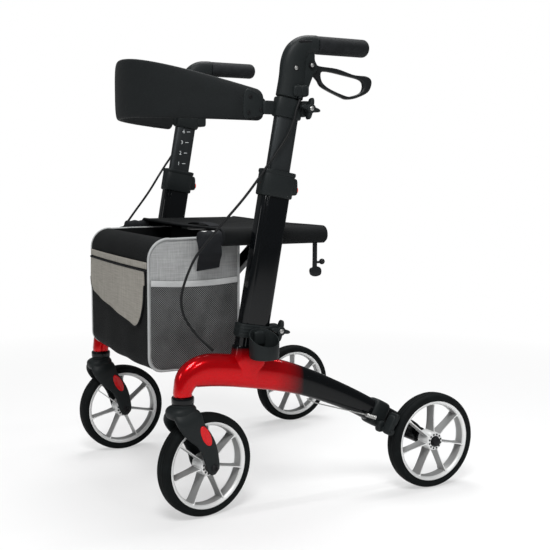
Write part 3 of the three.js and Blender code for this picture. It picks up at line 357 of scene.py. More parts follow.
def merged(name, *parts):
    """Several surfaces as one object of that name."""
    bpy.ops.object.select_all(action="DESELECT")
    for part in parts:
        part.select_set(True)
    bpy.context.view_layer.objects.active = parts[0]
    bpy.ops.object.join()
    parts[0].name = name
    parts[0].data.name = name
    return parts[0]


def eased(radius, start, end, edge):
    """Profile of a short cylinder whose rims are eased by a quarter turn."""
    t = np.linspace(0, math.pi / 2, 4)
    r = radius - edge * (1 - np.sin(t))
    s = edge * (1 - np.cos(t))
    return [(0.0, start), *zip(r, start + s), *zip(r[::-1], end - s[::-1]), (0.0, end)]


def mirror(obj, side):
    """On the right side the mesh is reflected in X and its faces turned back."""
    if side < 0:
        obj.data.transform(Matrix.Diagonal((-1, 1, 1, 1)))
        obj.data.flip_normals()
    return obj


# ---------- shader maths ----------


class Wire:
    """A socket in a material's tree. Arithmetic on it adds Math nodes."""

    def __init__(self, coat, socket):
        self.coat = coat
        self.socket = socket

    def math(self, operation, *values):
        return self.coat.add("Math", {"operation": operation}, dict(enumerate(values)))

    def __add__(self, other):
        return self.math("ADD", self, other)

    def __sub__(self, other):
        return self.math("SUBTRACT", self, other)

    def __rsub__(self, other):
        return self.math("SUBTRACT", other, self)

    def __mul__(self, other):
        return self.math("MULTIPLY", self, other)

    def __truediv__(self, other):
        return self.math("DIVIDE", self, other)

    __radd__ = __add__
    __rmul__ = __mul__

    def sine(self):
        return self.math("SINE", self)

    def size(self):
        return self.math("ABSOLUTE", self)

    def clamp(self):
        return self.math("MAXIMUM", self.math("MINIMUM", self, 1.0), 0.0)

    def ramp(self, start, end):
        """0 before start, 1 after end, straight between."""
        return ((self - start) / (end - start)).clamp()


class Coat:
    """One procedural finish: a Principled shader and what feeds it."""

    def __init__(self, name, base, roughness, metallic=0.0, **fixed):
        self.material = bpy.data.materials.new(name)
        self.material.use_nodes = True
        self.tree = self.material.node_tree
        self.shader = next(n for n in self.tree.nodes if n.type == "BSDF_PRINCIPLED")
        self.place = None
        self.set("Base Color", (*base, 1.0))
        self.set("Roughness", roughness)
        self.set("Metallic", metallic)
        for key, value in fixed.items():
            self.set(key.replace("_", " "), value)

    def add(self, kind, settings=None, inputs=None, output=0):
        """A node of that type, its settings, its sockets' values or links, and one of its outputs."""
        node = self.tree.nodes.new("ShaderNode" + kind)
        for key, value in (settings or {}).items():
            if key == "stops":
                while len(node.color_ramp.elements) < len(value):
                    node.color_ramp.elements.new(0.5)
                for element, (position, tone) in zip(node.color_ramp.elements, value):
                    element.position = position
                    element.color = tone
            else:
                setattr(node, key, value)
        for key, value in (inputs or {}).items():
            if isinstance(value, Wire):
                self.tree.links.new(value.socket, node.inputs[key])
            else:
                node.inputs[key].default_value = value
        return Wire(self, node.outputs[output])

    def set(self, socket, value):
        if isinstance(value, Wire):
            self.tree.links.new(value.socket, self.shader.inputs[socket])
        else:
            self.shader.inputs[socket].default_value = value

    def where(self):
        """Object coordinates, and their three parts."""
        if self.place is None:
            point = self.add("TexCoord", output="Object")
            parts = [self.add("SeparateXYZ", None, {0: point}, k) for k in range(3)]
            self.place = (point, *parts)
        return self.place

    def noise(self, scale, detail=3.0, roughness=0.55, point=None):
        point = point or self.where()[0]
        inputs = {"Vector": point, "Scale": scale, "Detail": detail, "Roughness": roughness}
        return self.add("TexNoise", None, inputs)

    def blend(self, share, first, second):
        """A colour between two, by share."""
        inputs = {0: share, 6: first, 7: second}
        return self.add("Mix", {"data_type": "RGBA"}, inputs, output=2)

    def relief(self, height, distance, strength=1.0):
        inputs = {"Height": height, "Distance": distance, "Strength": strength}
        self.set("Normal", self.add("Bump", None, inputs))


def rgb(colour_value, gain=1.0):
    return (*[min(1.0, c * gain) for c in colour_value], 1.0)


def moulded(name, base, roughness=0.5, grain=900.0, depth=0.00012):
    """Moulded plastic: a fine spark-eroded grain, with a slow change of sheen."""
    coat = Coat(name, base, roughness, Specular_IOR_Level=0.16)
    grain_height = coat.noise(grain, 2.0)
    slow = coat.noise(9.0, 2.0)
    coat.relief(grain_height, depth, 0.6)
    coat.set("Roughness", roughness + (slow - 0.5) * 0.18 + (grain_height - 0.5) * 0.12)
    coat.set("Base Color", coat.blend(slow, rgb(base, 0.8), rgb(base, 1.25)))
    return coat.material


def enamel(name, base, roughness=0.22):
    """Powder coat under lacquer, with a slight orange peel."""
    coat = Coat(name, base, roughness, 0.0, Coat_Weight=0.4, Coat_Roughness=0.04, Specular_IOR_Level=0.05)
    peel = coat.noise(240.0, 1.0)
    coat.relief(peel, 0.00006, 0.35)
    slow = coat.noise(14.0, 2.0)
    coat.set("Roughness", roughness + (slow - 0.5) * 0.1)
    coat.set("Base Color", coat.blend(slow, rgb(base, 0.85), rgb(base, 1.15)))
    return coat.material


def silver_paint(name, base):
    """Silver moulding paint: half metallic, with fine flake. A darker copy of it gives the painted shade on
    the faces inside the rim.
    """
    coat = Coat(name, base, 0.36, 0.25)
    flake = coat.noise(2200.0, 1.0)
    slow = coat.noise(11.0, 2.0)
    coat.set("Base Color", coat.blend(flake * 0.5 + slow * 0.5, rgb(base, 0.82), rgb(base, 1.18)))
    coat.set("Roughness", 0.30 + slow * 0.14)
    coat.relief(flake, 0.00003, 0.4)
    return coat.material


def beam_paint(paint):
    """Metallic red that fades to black to the rear and up the foot of the upright."""
    coat = Coat(
        "beam_paint", paint.beam_red, 0.25, 0.65, Coat_Weight=0.32, Coat_Roughness=0.03,
        Specular_IOR_Level=0.05
    )
    _, _, y, z = coat.where()
    flake = coat.noise(2600.0, 1.0)
    cloud = coat.noise(26.0, 2.0)
    rear = (y + (cloud - 0.5) * 0.012).ramp(-0.108, -0.042)
    foot = (z + (cloud - 0.5) * 0.008).ramp(0.298, 0.325)
    dark = rear.math("MAXIMUM", rear, foot)
    bright = coat.blend(flake.ramp(0.42, 0.68), rgb(paint.beam_red, 0.8), rgb(paint.beam_red, 1.35))
    coat.set("Base Color", coat.blend(dark, bright, rgb(paint.black)))
    coat.set("Metallic", 0.6 - dark * 0.5)
    coat.set("Roughness", 0.27 - flake * 0.08)
    coat.relief(coat.noise(180.0, 1.0), 0.00005, 0.3)
    return coat.material


def anodised(name, base):
    """Satin anodised extrusion with faint drawing lines along its length."""
    coat = Coat(name, base, 0.42, 0.75)
    stretched = coat.add("Mapping", None, {0: coat.where()[0], 3: (900.0, 900.0, 6.0)})
    lines = coat.noise(1.0, 2.0, point=stretched)
    coat.set("Roughness", 0.36 + lines * 0.16)
    coat.set("Base Color", coat.blend(lines, rgb(base, 0.82), rgb(base, 1.15)))
    coat.relief(lines, 0.00003, 0.4)
    return coat.material


def zinc():
    """Zinc-plated steel with slight mottling."""
    base, roughness = (0.42, 0.42, 0.41), 0.42
    coat = Coat("zinc_steel", base, roughness, 1.0)
    mottle = coat.noise(160.0, 3.0)
    coat.set("Roughness", roughness + (mottle - 0.5) * 0.25)
    coat.set("Base Color", coat.blend(mottle, rgb(base, 0.8), rgb(base, 1.15)))
    coat.relief(mottle, 0.00004, 0.3)
    return coat.material


def rubber(name, base, roughness=0.78):
    """Tyre rubber: dusty tread, darker sides, fine grain."""
    coat = Coat(name, base, roughness, Specular_IOR_Level=0.12)
    grain = coat.noise(700.0, 2.0)
    dust = coat.noise(38.0, 4.0)
    coat.set("Base Color", coat.blend(dust.ramp(0.45, 0.8), rgb(base), rgb(base, 2.1)))
    coat.set("Roughness", roughness + (dust - 0.5) * 0.2)
    coat.relief(grain, 0.00012, 0.5)
    return coat.material


def woven(name, base, thread, flat=False, contrast=0.35, slub=0.0):
    """Plain weave: threads along two directions pass over and under each other.

    Height is the larger of the two thread sets' rounded crests, each weighted by the sign of their product.
    flat is for cloth that lies level; standing cloth takes its first direction from x + y. slub is the share
    of long uneven yarns, upright and level, in the tone.
    """
    roughness = 0.82
    coat = Coat(name, base, roughness, Specular_IOR_Level=0.12)
    _, x, y, z = coat.where()
    k = math.pi / thread
    u, v = ((x, y) if flat else (x + y, z))
    a, b = (u * k).sine(), (v * k).sine()
    over = (a * b).ramp(-0.4, 0.4)
    height = a.size() * over + b.size() * (1 - over)
    wear = coat.noise(22.0, 4.0)
    fleck = coat.noise(520.0, 2.0)
    tone = height * contrast + wear * 0.4 + fleck * 0.25
    if slub:
        point = coat.where()[0]
        upright_yarn = coat.noise(
            1.0, 2.0, point=coat.add("Mapping", None, {0: point, 3: (420.0, 420.0, 26.0)})
        )
        level_yarn = coat.noise(
            1.0, 2.0, point=coat.add("Mapping", None, {0: point, 3: (26.0, 26.0, 420.0)})
        )
        tone = tone * (1 - slub) + (upright_yarn + level_yarn - 0.5) * slub
    tone = tone.ramp(0.15, 0.85)
    coat.set("Base Color", coat.blend(tone, rgb(base, 0.66), rgb(base, 1.28)))
    coat.set("Roughness", roughness + (wear - 0.5) * 0.16)
    coat.relief(height + wear * 1.2, 0.00028, 0.7)
    return coat.material


def netting(name, dark, light):
    """Knitted net: staggered round holes that show the paler cloth behind the black threads.

    A hole is where sin(k (y + z)) sin(k (y - z)) passes 0.22 to 0.5 in size.
    """
    coat = Coat(name, dark, 0.8, Specular_IOR_Level=0.12)
    _, _, y, z = coat.where()
    k = math.pi / 0.0042
    hole = (((y + z) * k).sine() * ((y - z) * k).sine()).size().ramp(0.22, 0.5)
    slow = coat.noise(16.0, 3.0)
    share = hole * (0.2 + slow * 0.7)
    coat.set("Base Color", coat.blend(share, rgb(dark), rgb(light)))
    coat.relief(1 - hole, 0.0005, 0.8)
    return coat.material


def foam_skin(name, base):
    """Closed-cell foam: small pits over a soft, slightly shiny skin."""
    coat = Coat(name, base, 0.62, Sheen_Weight=0.02, Specular_IOR_Level=0.16)
    cells = coat.add("TexVoronoi", None, {"Vector": coat.where()[0], "Scale": 620.0})
    waves = coat.noise(30.0, 3.0)
    coat.set("Base Color", coat.blend(waves, rgb(base, 0.75), rgb(base, 1.45)))
    coat.set("Roughness", 0.56 + waves * 0.18)
    coat.relief(cells * 0.6 + waves * 2.2, 0.0006, 0.5)
    return coat.material


def lens(name, base):
    """Prismatic reflector under clear plastic."""
    coat = Coat(name, base, 0.18, Coat_Weight=0.4, Coat_Roughness=0.02, Specular_IOR_Level=0.1)
    cells = coat.add(
        "TexVoronoi", {"feature": "DISTANCE_TO_EDGE"}, {"Vector": coat.where()[0], "Scale": 420.0}
    )
    coat.set("Base Color", coat.blend(cells.ramp(0.0, 0.25), rgb(base, 0.8), rgb(base, 1.1)))
    coat.relief(cells, 0.0004, 0.5)
    return coat.material


FINISHES = {}


def make_finishes(scene):
    paint, cloth = scene.walker_paint, scene.walker_cloth
    FINISHES.update(
        beam=beam_paint(paint),
        black=enamel("black_enamel", paint.black),
        plastic=moulded("moulded_black", paint.moulded),
        soft_plastic=moulded("lever_black", (0.010, 0.011, 0.012), 0.34, 500.0),
        tube=anodised("dark_anodised", (0.030, 0.034, 0.036)),
        button=moulded("button_red", paint.button, 0.3, 400.0, 0.00005),
        silver=silver_paint("rim_silver", paint.silver),
        # the rim silver at 0.42 of its brightness: painted shade for the faces inside the rim
        shade=silver_paint("rim_painted_shade", [c * 0.42 for c in paint.silver]),
        hub=moulded("hub_black", (0.008, 0.008, 0.009), 0.42),
        tyre=rubber("tyre_rubber", (0.0030, 0.0040, 0.0042)),
        grip=rubber("grip_rubber", (0.0095, 0.0105, 0.0115), 0.62),
        cable=moulded("cable_sleeve", (0.008, 0.0085, 0.009), 0.5, 300.0, 0.00003),
        zinc=zinc(),
        mark=moulded("scale_mark", (0.62, 0.65, 0.66), 0.5, 900.0, 0.00002),
        reflector=lens("fork_reflector", paint.reflector),
        seat=woven("seat_cloth", cloth.black, cloth.thread * 1.4, flat=True),
        black_cloth=woven("black_cloth", cloth.black, cloth.thread),
        grey_cloth=woven("grey_cloth", cloth.grey, cloth.thread, contrast=0.5, slub=0.6),
        beige_cloth=woven("beige_cloth", cloth.beige, cloth.thread, contrast=0.5, slub=0.6),
        piping=woven("black_piping", (0.010, 0.011, 0.012), 0.0016, contrast=0.2),
        grey_piping=woven("grey_piping", (0.36, 0.37, 0.37), 0.0016, contrast=0.3),
        webbing=woven("black_webbing", (0.013, 0.014, 0.016), 0.0018),
        foam=foam_skin("backrest_foam", cloth.foam),
        net=netting("pocket_net", rgb(cloth.black)[:3], rgb(cloth.grey, 0.8)[:3]),
        elastic=woven("grey_elastic", rgb(cloth.grey, 1.5)[:3], 0.0014, contrast=0.25),
    )


def fold_up(pieces):
    """Gives each piece its own copy of its mesh."""
    for piece in pieces:
        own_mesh(piece)


def dress(obj, finish, body, slot, *nodes):
    """Gives a piece its finish, the body it rides on and the CAD nodes it stands for."""
    obj.data.materials.clear()
    obj.data.materials.append(FINISHES[finish])
    if body:
        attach(obj, body)
    if nodes:
        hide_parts(*nodes)
    return obj


def fit(name, side, parts, finish, body, slot, *nodes):
    """Joins parts under one name, puts them on their side and dresses them."""
    return dress(mirror(merged(name, *parts), side), finish, body, slot, *nodes)


# ---------- camera and stage ----------

CAMERA = {
    "place": (1.8740, -0.95245, 0.6607), "azimuth": 62.26, "elevation": 6.28, "roll": 0.31, "lens": 62.08
}

# name, place, what it aims at, width and height, watts
LAMPS = (
    ("key", (2.0, -1.2, 3.0), (0, 0, 0.35), (1.1, 1.1), 88),
    ("fill", (3.2, 0.3, 1.9), (0, 0, 0.5), (0.5, 0.5), 12),
    ("top", (-0.9, 0.4, 3.2), (0, 0, 0.3), (1.6, 1.6), 60),
    ("front", (0.6, -3.2, 1.6), (0, 0, 0.5), (1.0, 1.0), 14),
    ("strip", (0.2, 1.0, 2.2), (0.27, -0.1, 0.3), (0.06, 1.3), 11),
)


class WALKER_OT_stage(bpy.types.Operator):
    """Camera, floor and soft studio lights"""

    bl_idname = "walker.stage"
    bl_label = "Stage"

    def execute(self, context):
        self.camera(context.scene)
        self.floor()
        self.surroundings(context.scene)
        for lamp in LAMPS:
            self.lamp(context.scene, *lamp)
        return {"FINISHED"}

    def camera(self, scene):
        """Looks along minus the direction of its azimuth and elevation, rolled about that line."""
        a, e, roll = (math.radians(CAMERA[key]) for key in ("azimuth", "elevation", "roll"))
        back = np.array([math.sin(a) * math.cos(e), -math.cos(a) * math.cos(e), math.sin(e)])
        right = np.array([math.cos(a), math.sin(a), 0.0])
        up = np.cross(back, right)
        matrix = np.eye(4)
        matrix[:3, 0] = math.cos(roll) * right + math.sin(roll) * up
        matrix[:3, 1] = math.cos(roll) * up - math.sin(roll) * right
        matrix[:3, 2] = back
        matrix[:3, 3] = CAMERA["place"]
        data = bpy.data.cameras.new("view")
        data.lens, data.sensor_width = CAMERA["lens"], 36.0
        camera = bpy.data.objects.new("view", data)
        scene.collection.objects.link(camera)
        camera.matrix_world = Matrix(matrix.tolist())
        scene.camera = camera
        scene.view_settings.view_transform = "Standard"

    def floor(self):
        """A wide pale floor that fades to plain white away from the walker."""
        side = np.array((-30.0, 30.0))
        grid = np.stack([*np.meshgrid(side, side, indexing="ij"), np.full((2, 2), -0.0004)], -1)
        floor = skin("floor", grid, ring=False, capped=False)
        if floor.data.polygons[0].normal.z < 0:
            floor.data.flip_normals()
        coat = Coat("floor_pale", (0.86, 0.86, 0.86), 0.7)
        coat.set("Base Color", coat.blend(coat.noise(0.8), rgb((0.80,) * 3), rgb((0.83,) * 3)))
        _, x, y, _ = coat.where()
        far = (x * x + y * y).math("SQRT", x * x + y * y).ramp(0.7, 1.9)
        lit = coat.add("LightPath", output="Is Camera Ray") * (0.5 + far * 0.5)
        glow = coat.add("Emission", None, {"Color": rgb((1, 1, 1))})
        cover = coat.add("MixShader", None, {0: lit, 1: Wire(coat, coat.shader.outputs[0]), 2: glow})
        out = next(n for n in coat.tree.nodes if n.type == "OUTPUT_MATERIAL")
        coat.tree.links.new(cover.socket, out.inputs["Surface"])
        floor.data.materials.append(coat.material)

    def surroundings(self, scene):
        """A dim even room that the view sees as plain white."""
        world = bpy.data.worlds.new("studio")
        world.use_nodes = True
        tree = world.node_tree
        room = next(n for n in tree.nodes if n.type == "BACKGROUND")
        room.inputs["Color"].default_value = (0.96, 0.98, 1.0, 1.0)
        room.inputs["Strength"].default_value = 0.2
        seen = tree.nodes.new("ShaderNodeBackground")
        seen.inputs["Color"].default_value = (1.0, 1.0, 1.0, 1.0)
        path = tree.nodes.new("ShaderNodeLightPath")
        mix = tree.nodes.new("ShaderNodeMixShader")
        output = next(n for n in tree.nodes if n.type == "OUTPUT_WORLD")
        tree.links.new(path.outputs["Is Camera Ray"], mix.inputs[0])
        tree.links.new(room.outputs[0], mix.inputs[1])
        tree.links.new(seen.outputs[0], mix.inputs[2])
        tree.links.new(mix.outputs[0], output.inputs["Surface"])
        scene.world = world

    def lamp(self, scene, name, place, aim, size, power):
        light = bpy.data.lights.new(name, "AREA")
        light.shape, light.energy = "RECTANGLE", power
        light.size, light.size_y = size
        lamp = bpy.data.objects.new(name, light)
        scene.collection.objects.link(lamp)
        z = unit(np.array(place, float) - np.array(aim, float))
        x = unit(np.cross((0, 0, 1), z))
        m = np.eye(4)
        m[:3, 0], m[:3, 1], m[:3, 2], m[:3, 3] = x, np.cross(z, x), z, place
        lamp.matrix_world = Matrix(m.tolist())


# ---------- cables ----------

CABLE = np.array(
    [
        (0.2705, -0.057, 0.797), (0.2715, -0.061, 0.788), (0.2725, -0.067, 0.774), (0.273, -0.072, 0.755),
        (0.272, -0.086, 0.725), (0.270, -0.108, 0.693), (0.268, -0.124, 0.672), (0.266, -0.141, 0.648),
        (0.258, -0.172, 0.606), (0.247, -0.217, 0.553), (0.238, -0.256, 0.504), (0.231, -0.272, 0.470),
        (0.228, -0.283, 0.436), (0.229, -0.286, 0.412), (0.233, -0.281, 0.385), (0.241, -0.262, 0.353),
        (0.249, -0.243, 0.332), (0.253, -0.232, 0.321),
    ]
)
CABLE_R = 0.0025


class WALKER_OT_cables(bpy.types.Operator):
    """Brake cable sleeves from the handles down to the beams; the runs along the beams come with the brakes
    """

    bl_idname = "walker.cables"
    bl_label = "Brake cables"

    def execute(self, context):
        for name, side in SIDES:
            route = spline(CABLE, 150) * (side, 1, 1)
            sleeve = tube(f"{name}_cable_sleeve", route, CABLE_R, hint=(1, 0, 0))
            dress(sleeve, "cable", None, "cable_sleeve", f"{name}_brake_cable")
            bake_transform(sleeve)
            route[::2].tolist() + [route[-1].tolist()]
        return {"FINISHED"}


# ---------- side frames ----------

BEAM = np.array(
    [
        (STEER_Y, HEAD_Z, 0.0175, 0.0175),
        (STEER_Y + 0.0005, HEAD_Z + 0.012, 0.018, 0.0175),
        (STEER_Y + 0.012, HEAD_Z + 0.0345, 0.025, 0.0175),
        (STEER_Y + 0.042, HEAD_Z + 0.045, 0.031, 0.017),
        (-0.204, 0.281, 0.0315, 0.017),
        (-0.149, 0.272, 0.0315, 0.017),
        (-0.094, 0.261, 0.031, 0.017),
        (-0.038, 0.2435, 0.028, 0.017),
        (0.018, 0.2205, 0.0255, 0.0165),
        (0.078, 0.1925, 0.0235, 0.016),
        (0.130, 0.164, 0.023, 0.0155),
        (0.176, 0.139, 0.022, 0.015),
        (0.227, 0.112, 0.020, 0.0145),
        (0.245, 0.100, 0.017, 0.014),
    ]
)


class WALKER_OT_side_frames(bpy.types.Operator):
    """Painted beams, uprights, height collars and their buttons"""

    bl_idname = "walker.side_frames"
    bl_label = "Side frames"

    def execute(self, context):
        for name, side in SIDES:
            body = f"{name}_frame"
            x = FRAME_X
            shell = side_sweep("shell", BEAM, x, count=110, around=44, power=2.3, ends=0.002)
            eye = turned("eye", eased(0.017, x - 0.014, x + 0.014, 0.002), (0, *REAR_AXLE[1:]), around=48)
            foot = leaning("foot", x, 0.262, 0.324, 0.0172, 0.034, power=4.2, edge=0.004)
            beam = (shell, eye, foot)
            fit(f"{name}_beam_shell", side, beam, "beam", body, "red_paint", f"{name}_side_beam")
            lane = PIVOT_Y[name]
            lug = lump(
                "lug", (x - 0.020, lane + STRUT_HALF + 0.0043, PIVOT_Z), (0.017, 0.0045, 0.0125), power=5
            )
            pin = turned(
                "pin", eased(0.0098, lane - 0.0125, lane - 0.0095, 0.001), (PIVOT_X, 0, PIVOT_Z), "y"
            )
            fit(f"{name}_pivot_lug", side, (lug, pin), "black", body, "black_paint")

            post = leaning(
                f"{name}_post", x, 0.318, 0.6545, 0.015, 0.030, power=5.5, around=120,
                grooves=(-0.019, 0.004)
            )
            dress(mirror(post, side), "black", body, "black_paint", f"{name}_upright")

            top, foot_z = COLLAR_TOP, COLLAR_TOP - 0.049
            sleeve = leaning("sleeve", x, foot_z, top, 0.0193, 0.0343, power=4.5, edge=0.003, around=64)
            lip = leaning(
                "lip", x, top - 0.007, top + 0.001, 0.0203, 0.0353, power=4.5, edge=0.002, around=64
            )
            rear = upright_y(foot_z + 0.014) + 0.0345
            boss = lump("boss", (x, rear + 0.001, foot_z + 0.019), (0.0115, 0.0105, 0.0165), power=5)
            collar = (sleeve, lip, boss)
            fit(
                f"{name}_collar_shell", side, collar, "plastic", body, "black_plastic",
                f"{name}_height_collar"
            )
            face = high(f"{name}_height_button")[1]
            button = turned(
                f"{name}_button_cap",
                [
                    (0.0, face), (0.003, face), (0.0058, face - 0.0008), (0.0073, face - 0.0028),
                    (0.0075, face - 0.011), (0.0, face - 0.011)
                ],
                (x, 0, foot_z + 0.013),
                "y",
            )
            dress(mirror(button, side), "button", f"{name}_button", "red_plastic", f"{name}_height_button")
        return {"FINISHED"}


# ---------- handles ----------

BAND_END = high("backrest")[1] - 0.0040

HANDLE_Y = upright_y(GRIP_Z - 0.040)
LEVER_PIVOT = np.array([HANDLE_Y + 0.0307, GRIP_Z - 0.040])
LEVER_OUTER = np.array(
    [
        (-7, 0), (0, 8.5), (22, 1), (64, -2.5), (102, -12), (134, -14), (145, -24), (137, -44),
        (110, -57), (88, -61), (73, -57.5), (30, -40), (18, -26), (2, -11),
    ]
) / 1000
LEVER_INNER = np.array(
    [
        (27, -14), (40, -9.5), (80, -15), (116, -22), (124, -33), (119, -46), (102, -53), (82, -53.5),
        (36, -36)
    ]
) / 1000


def from_rear(points):
    """The closed outline started at its rearmost point and run one way round."""
    p = even(spline(points, 240, closed=True), 160, closed=True)
    area = (p[:, 0] * np.roll(p[:, 1], -1) - p[:, 1] * np.roll(p[:, 0], -1)).sum()
    p = p if area > 0 else p[::-1]
    return np.roll(p, -int(np.argmax(p[:, 0])), axis=0)


def lever_loop(name):
    """A rounded bar between the outer and inner outline: mid(u) + reach(u) cos v across, t sin v thick."""
    outer, inner = from_rear(LEVER_OUTER), from_rear(LEVER_INNER)
    mid, reach = (outer + inner) / 2, (outer - inner) / 2
    c, s = superoval(24, 3.2)
    flat = mid[:, None] + reach[:, None] * c[:, None] + LEVER_PIVOT
    grid = np.concatenate([np.broadcast_to(FRAME_X + 0.0055 * s[:, None], (160, 24, 1)), flat], -1)
    return skin(name, grid, loop=True)


def star_knob(name, x0, x1, y, z, radius):
    """Four-lobed knob turned on X: radius times 0.40 + 0.60 ((1 + cos 4a) / 2)^2.2."""
    a = np.linspace(0, 2 * math.pi, 112, endpoint=False)
    lobe = 0.40 + 0.60 * ((1 + np.cos(4 * (a + 0.2))) / 2) ** 2.2
    p = np.array(eased(1.0, 0.0, 1.0, 0.18))
    share = p[:, 0:1]
    r = radius * share * lobe
    grid = np.stack([x0 + (x1 - x0) * p[:, 1:2] + 0 * r, y + r * np.cos(a), z + r * np.sin(a)], -1)
    return skin(name, grid)


def hand_knob(name, side, y, z):
    """Star knob behind an upright, with the end of its steel bolt; body and node are called the same."""
    face = FRAME_X + 0.0305
    star = star_knob("head", FRAME_X + 0.0155, FRAME_X + 0.029, y, z, KNOB_R)
    hub = turned("hub", eased(0.009, FRAME_X + 0.0153, face, 0.0015), (0, y, z))
    fit(f"{name}_star", side, (star, hub), "plastic", f"{name}_knob", "black_plastic", f"{name}_knob")
    end = [
        (0, face + 0.0019), (0.0030, face + 0.0016), (0.0044, face + 0.0006), (0.0048, face - 0.002),
        (0, face - 0.002)
    ]
    dress(mirror(turned(f"{name}_bolt", end, (0, y, z), around=32), side), "zinc", f"{name}_knob", "steel")


class WALKER_OT_handles(bpy.types.Operator):
    """Sliding tubes, elbows, grips, brake levers and backrest clamps"""

    bl_idname = "walker.handles"
    bl_label = "Handles"

    def execute(self, context):
        x = FRAME_X
        for name, side in SIDES:
            body = f"{name}_handle"
            rod = leaning(f"{name}_rod", x, 0.470, 0.861, 0.0105, 0.024, power=4.0, around=72)
            dress(mirror(rod, side), "tube", body, "dark_tube", f"{name}_handle_tube")
            self.scale_marks(name, side)

            y, z = HANDLE_Y, GRIP_Z
            elbow = side_sweep(
                "elbow",
                [
                    (upright_y(0.799), 0.799, 0.0275, 0.0165),
                    (upright_y(0.835), 0.835, 0.027, 0.0165),
                    (y - 0.0018, z - 0.036, 0.026, 0.0165),
                    (y + 0.0047, z - 0.017, 0.0235, 0.017),
                    (y + 0.0187, z - 0.004, 0.020, 0.0175),
                    (y + 0.0367, z, 0.018, 0.018),
                    (y + 0.0462, z, 0.018, 0.018),
                ],
                x, count=60, around=44, power=2.6, ends=0.0025,
            )
            cheek = slab(
                "cheek",
                spline(
                    np.array(
                        [
                            (0.7, -102), (22.7, -96), (27.7, -82), (36.7, -60), (46.7, -44), (40.7, -30),
                            (36.7, -14), (5.7, -10), (-9.3, -52)
                        ]
                    ) / 1000 + (y, z),
                    80, closed=True,
                ),
                x - 0.0125, x + 0.0125, edge=0.005,
            )
            cx, cy, cz = CABLE[0]
            barrel = turned(
                "barrel",
                [
                    (0, cz + 0.0008), (0.0044, cz + 0.0008), (0.0052, cz + 0.002), (0.0052, cz + 0.005),
                    (0.0064, cz + 0.006), (0.0064, cz + 0.009), (0, cz + 0.009)
                ],
                (cx, cy, 0), "z", 28,
            )
            block = lump("block", (cx - 0.004, cy + 0.001, cz + 0.0150), (0.0105, 0.0170, 0.0112), power=4.5)
            ribs = [
                lump(
                    f"rib{k}", (cx - 0.0035, cy - 0.011 + 0.0115 * k, cz + 0.0150), (0.0118, 0.0022, 0.0100),
                    power=3
                )
                for k in range(3)
            ]
            # a dark pad a little proud of the elbow's outer face stands for its notch: painted shade where
            # the recess is
            place = (x + 0.0150, y + 0.0165, z + 0.0035)
            notch = lump(f"{name}_elbow_notch_painted_shade", place, (0.0030, 0.0140, 0.0021), power=5)
            dress(mirror(notch, side), "hub", body, "black_plastic")
            shell = (elbow, cheek, barrel, block, *ribs)
            fit(
                f"{name}_elbow_shell", side, shell, "plastic", body, "black_plastic",
                f"{name}_handle_housing"
            )

            screws, rings = [], []
            for sy, sz in (LEVER_PIVOT, (y - 0.0043, z - 0.047)):
                for end in (-1, 1):
                    face, place = x + end * 0.0167, (0, sy, sz)
                    head = np.array([(0, 1.0), (2.6, 0.8), (4.2, -0.2), (4.4, -5), (0, -5)]) / 1000
                    rim = np.array(
                        [(3.7, -1), (4.0, 0.3), (5.6, 0.1), (6.2, -1), (6.2, -5), (3.7, -5)]
                    ) / 1000
                    screws.append(turned("screw", head * (1, end) + (0, face), place, around=32))
                    rings.append(turned("ring", rim * (1, end) + (0, face), place, around=32, loop=True))
            fit(f"{name}_screw_rings", side, rings, "hub", body, "black_plastic")
            fit(f"{name}_lever_screws", side, screws, "zinc", body, "steel", f"{name}_lever_pin")

            g0, g1 = low(f"{name}_grip")[1], high(f"{name}_grip")[1]
            r = 0.0175
            t = np.linspace(0, math.pi / 2, 14)
            dome = list(zip(r - 0.0125 * (1 - np.cos(t)), g1 - 0.0125 * (1 - np.sin(t))))
            profile = [
                (0, g0), (r - 0.0018, g0), (r - 0.0004, g0 + 0.0008), (r, g0 + 0.0024)
            ] + dome + [(0, g1)]
            sleeve = turned(f"{name}_grip_sleeve", profile, (x, 0, GRIP_Z), "y", 56)
            dress(mirror(sleeve, side), "grip", body, "soft_grip", f"{name}_grip")

            lever = mirror(lever_loop(f"{name}_lever_loop"), side)
            dress(lever, "soft_plastic", f"{name}_lever", "black_plastic", f"{name}_brake_lever")
            self.clamp(name, side)
        return {"FINISHED"}

    def scale_marks(self, name, side):
        """Ticks and numbers 1 to 5 up the inner face of the sliding tube, readable on both sides."""
        parts = []
        for k in range(5):
            z = 0.676 + 0.025 * k
            face = FRAME_X - 0.01055
            parts.append(lump(f"t{k}", (face, upright_y(z) + 0.006, z), (0.00025, 0.0045, 0.0007), count=6))
            text = bpy.data.curves.new("n", "FONT")
            text.body, text.size, text.align_x, text.align_y = str(k + 1), 0.012, "CENTER", "CENTER"
            text.extrude = 0.0002
            digit = bpy.data.objects.new("n", text)
            bpy.context.scene.collection.objects.link(digit)
            mesh = bpy.data.meshes.new_from_object(digit)
            bpy.data.objects.remove(digit)
            obj = bpy.data.objects.new(f"d{k}", mesh)
            bpy.context.scene.collection.objects.link(obj)
            mesh.transform(
                Matrix(((0, 0, -1, face), (-side, 0, 0, upright_y(z) - 0.007), (0, 1, 0, z), (0, 0, 0, 1)))
            )
            if side < 0:
                mesh.flip_normals()
            parts.append(obj)
        fit(f"{name}_scale", side, parts, "mark", f"{name}_handle", "dark_tube")

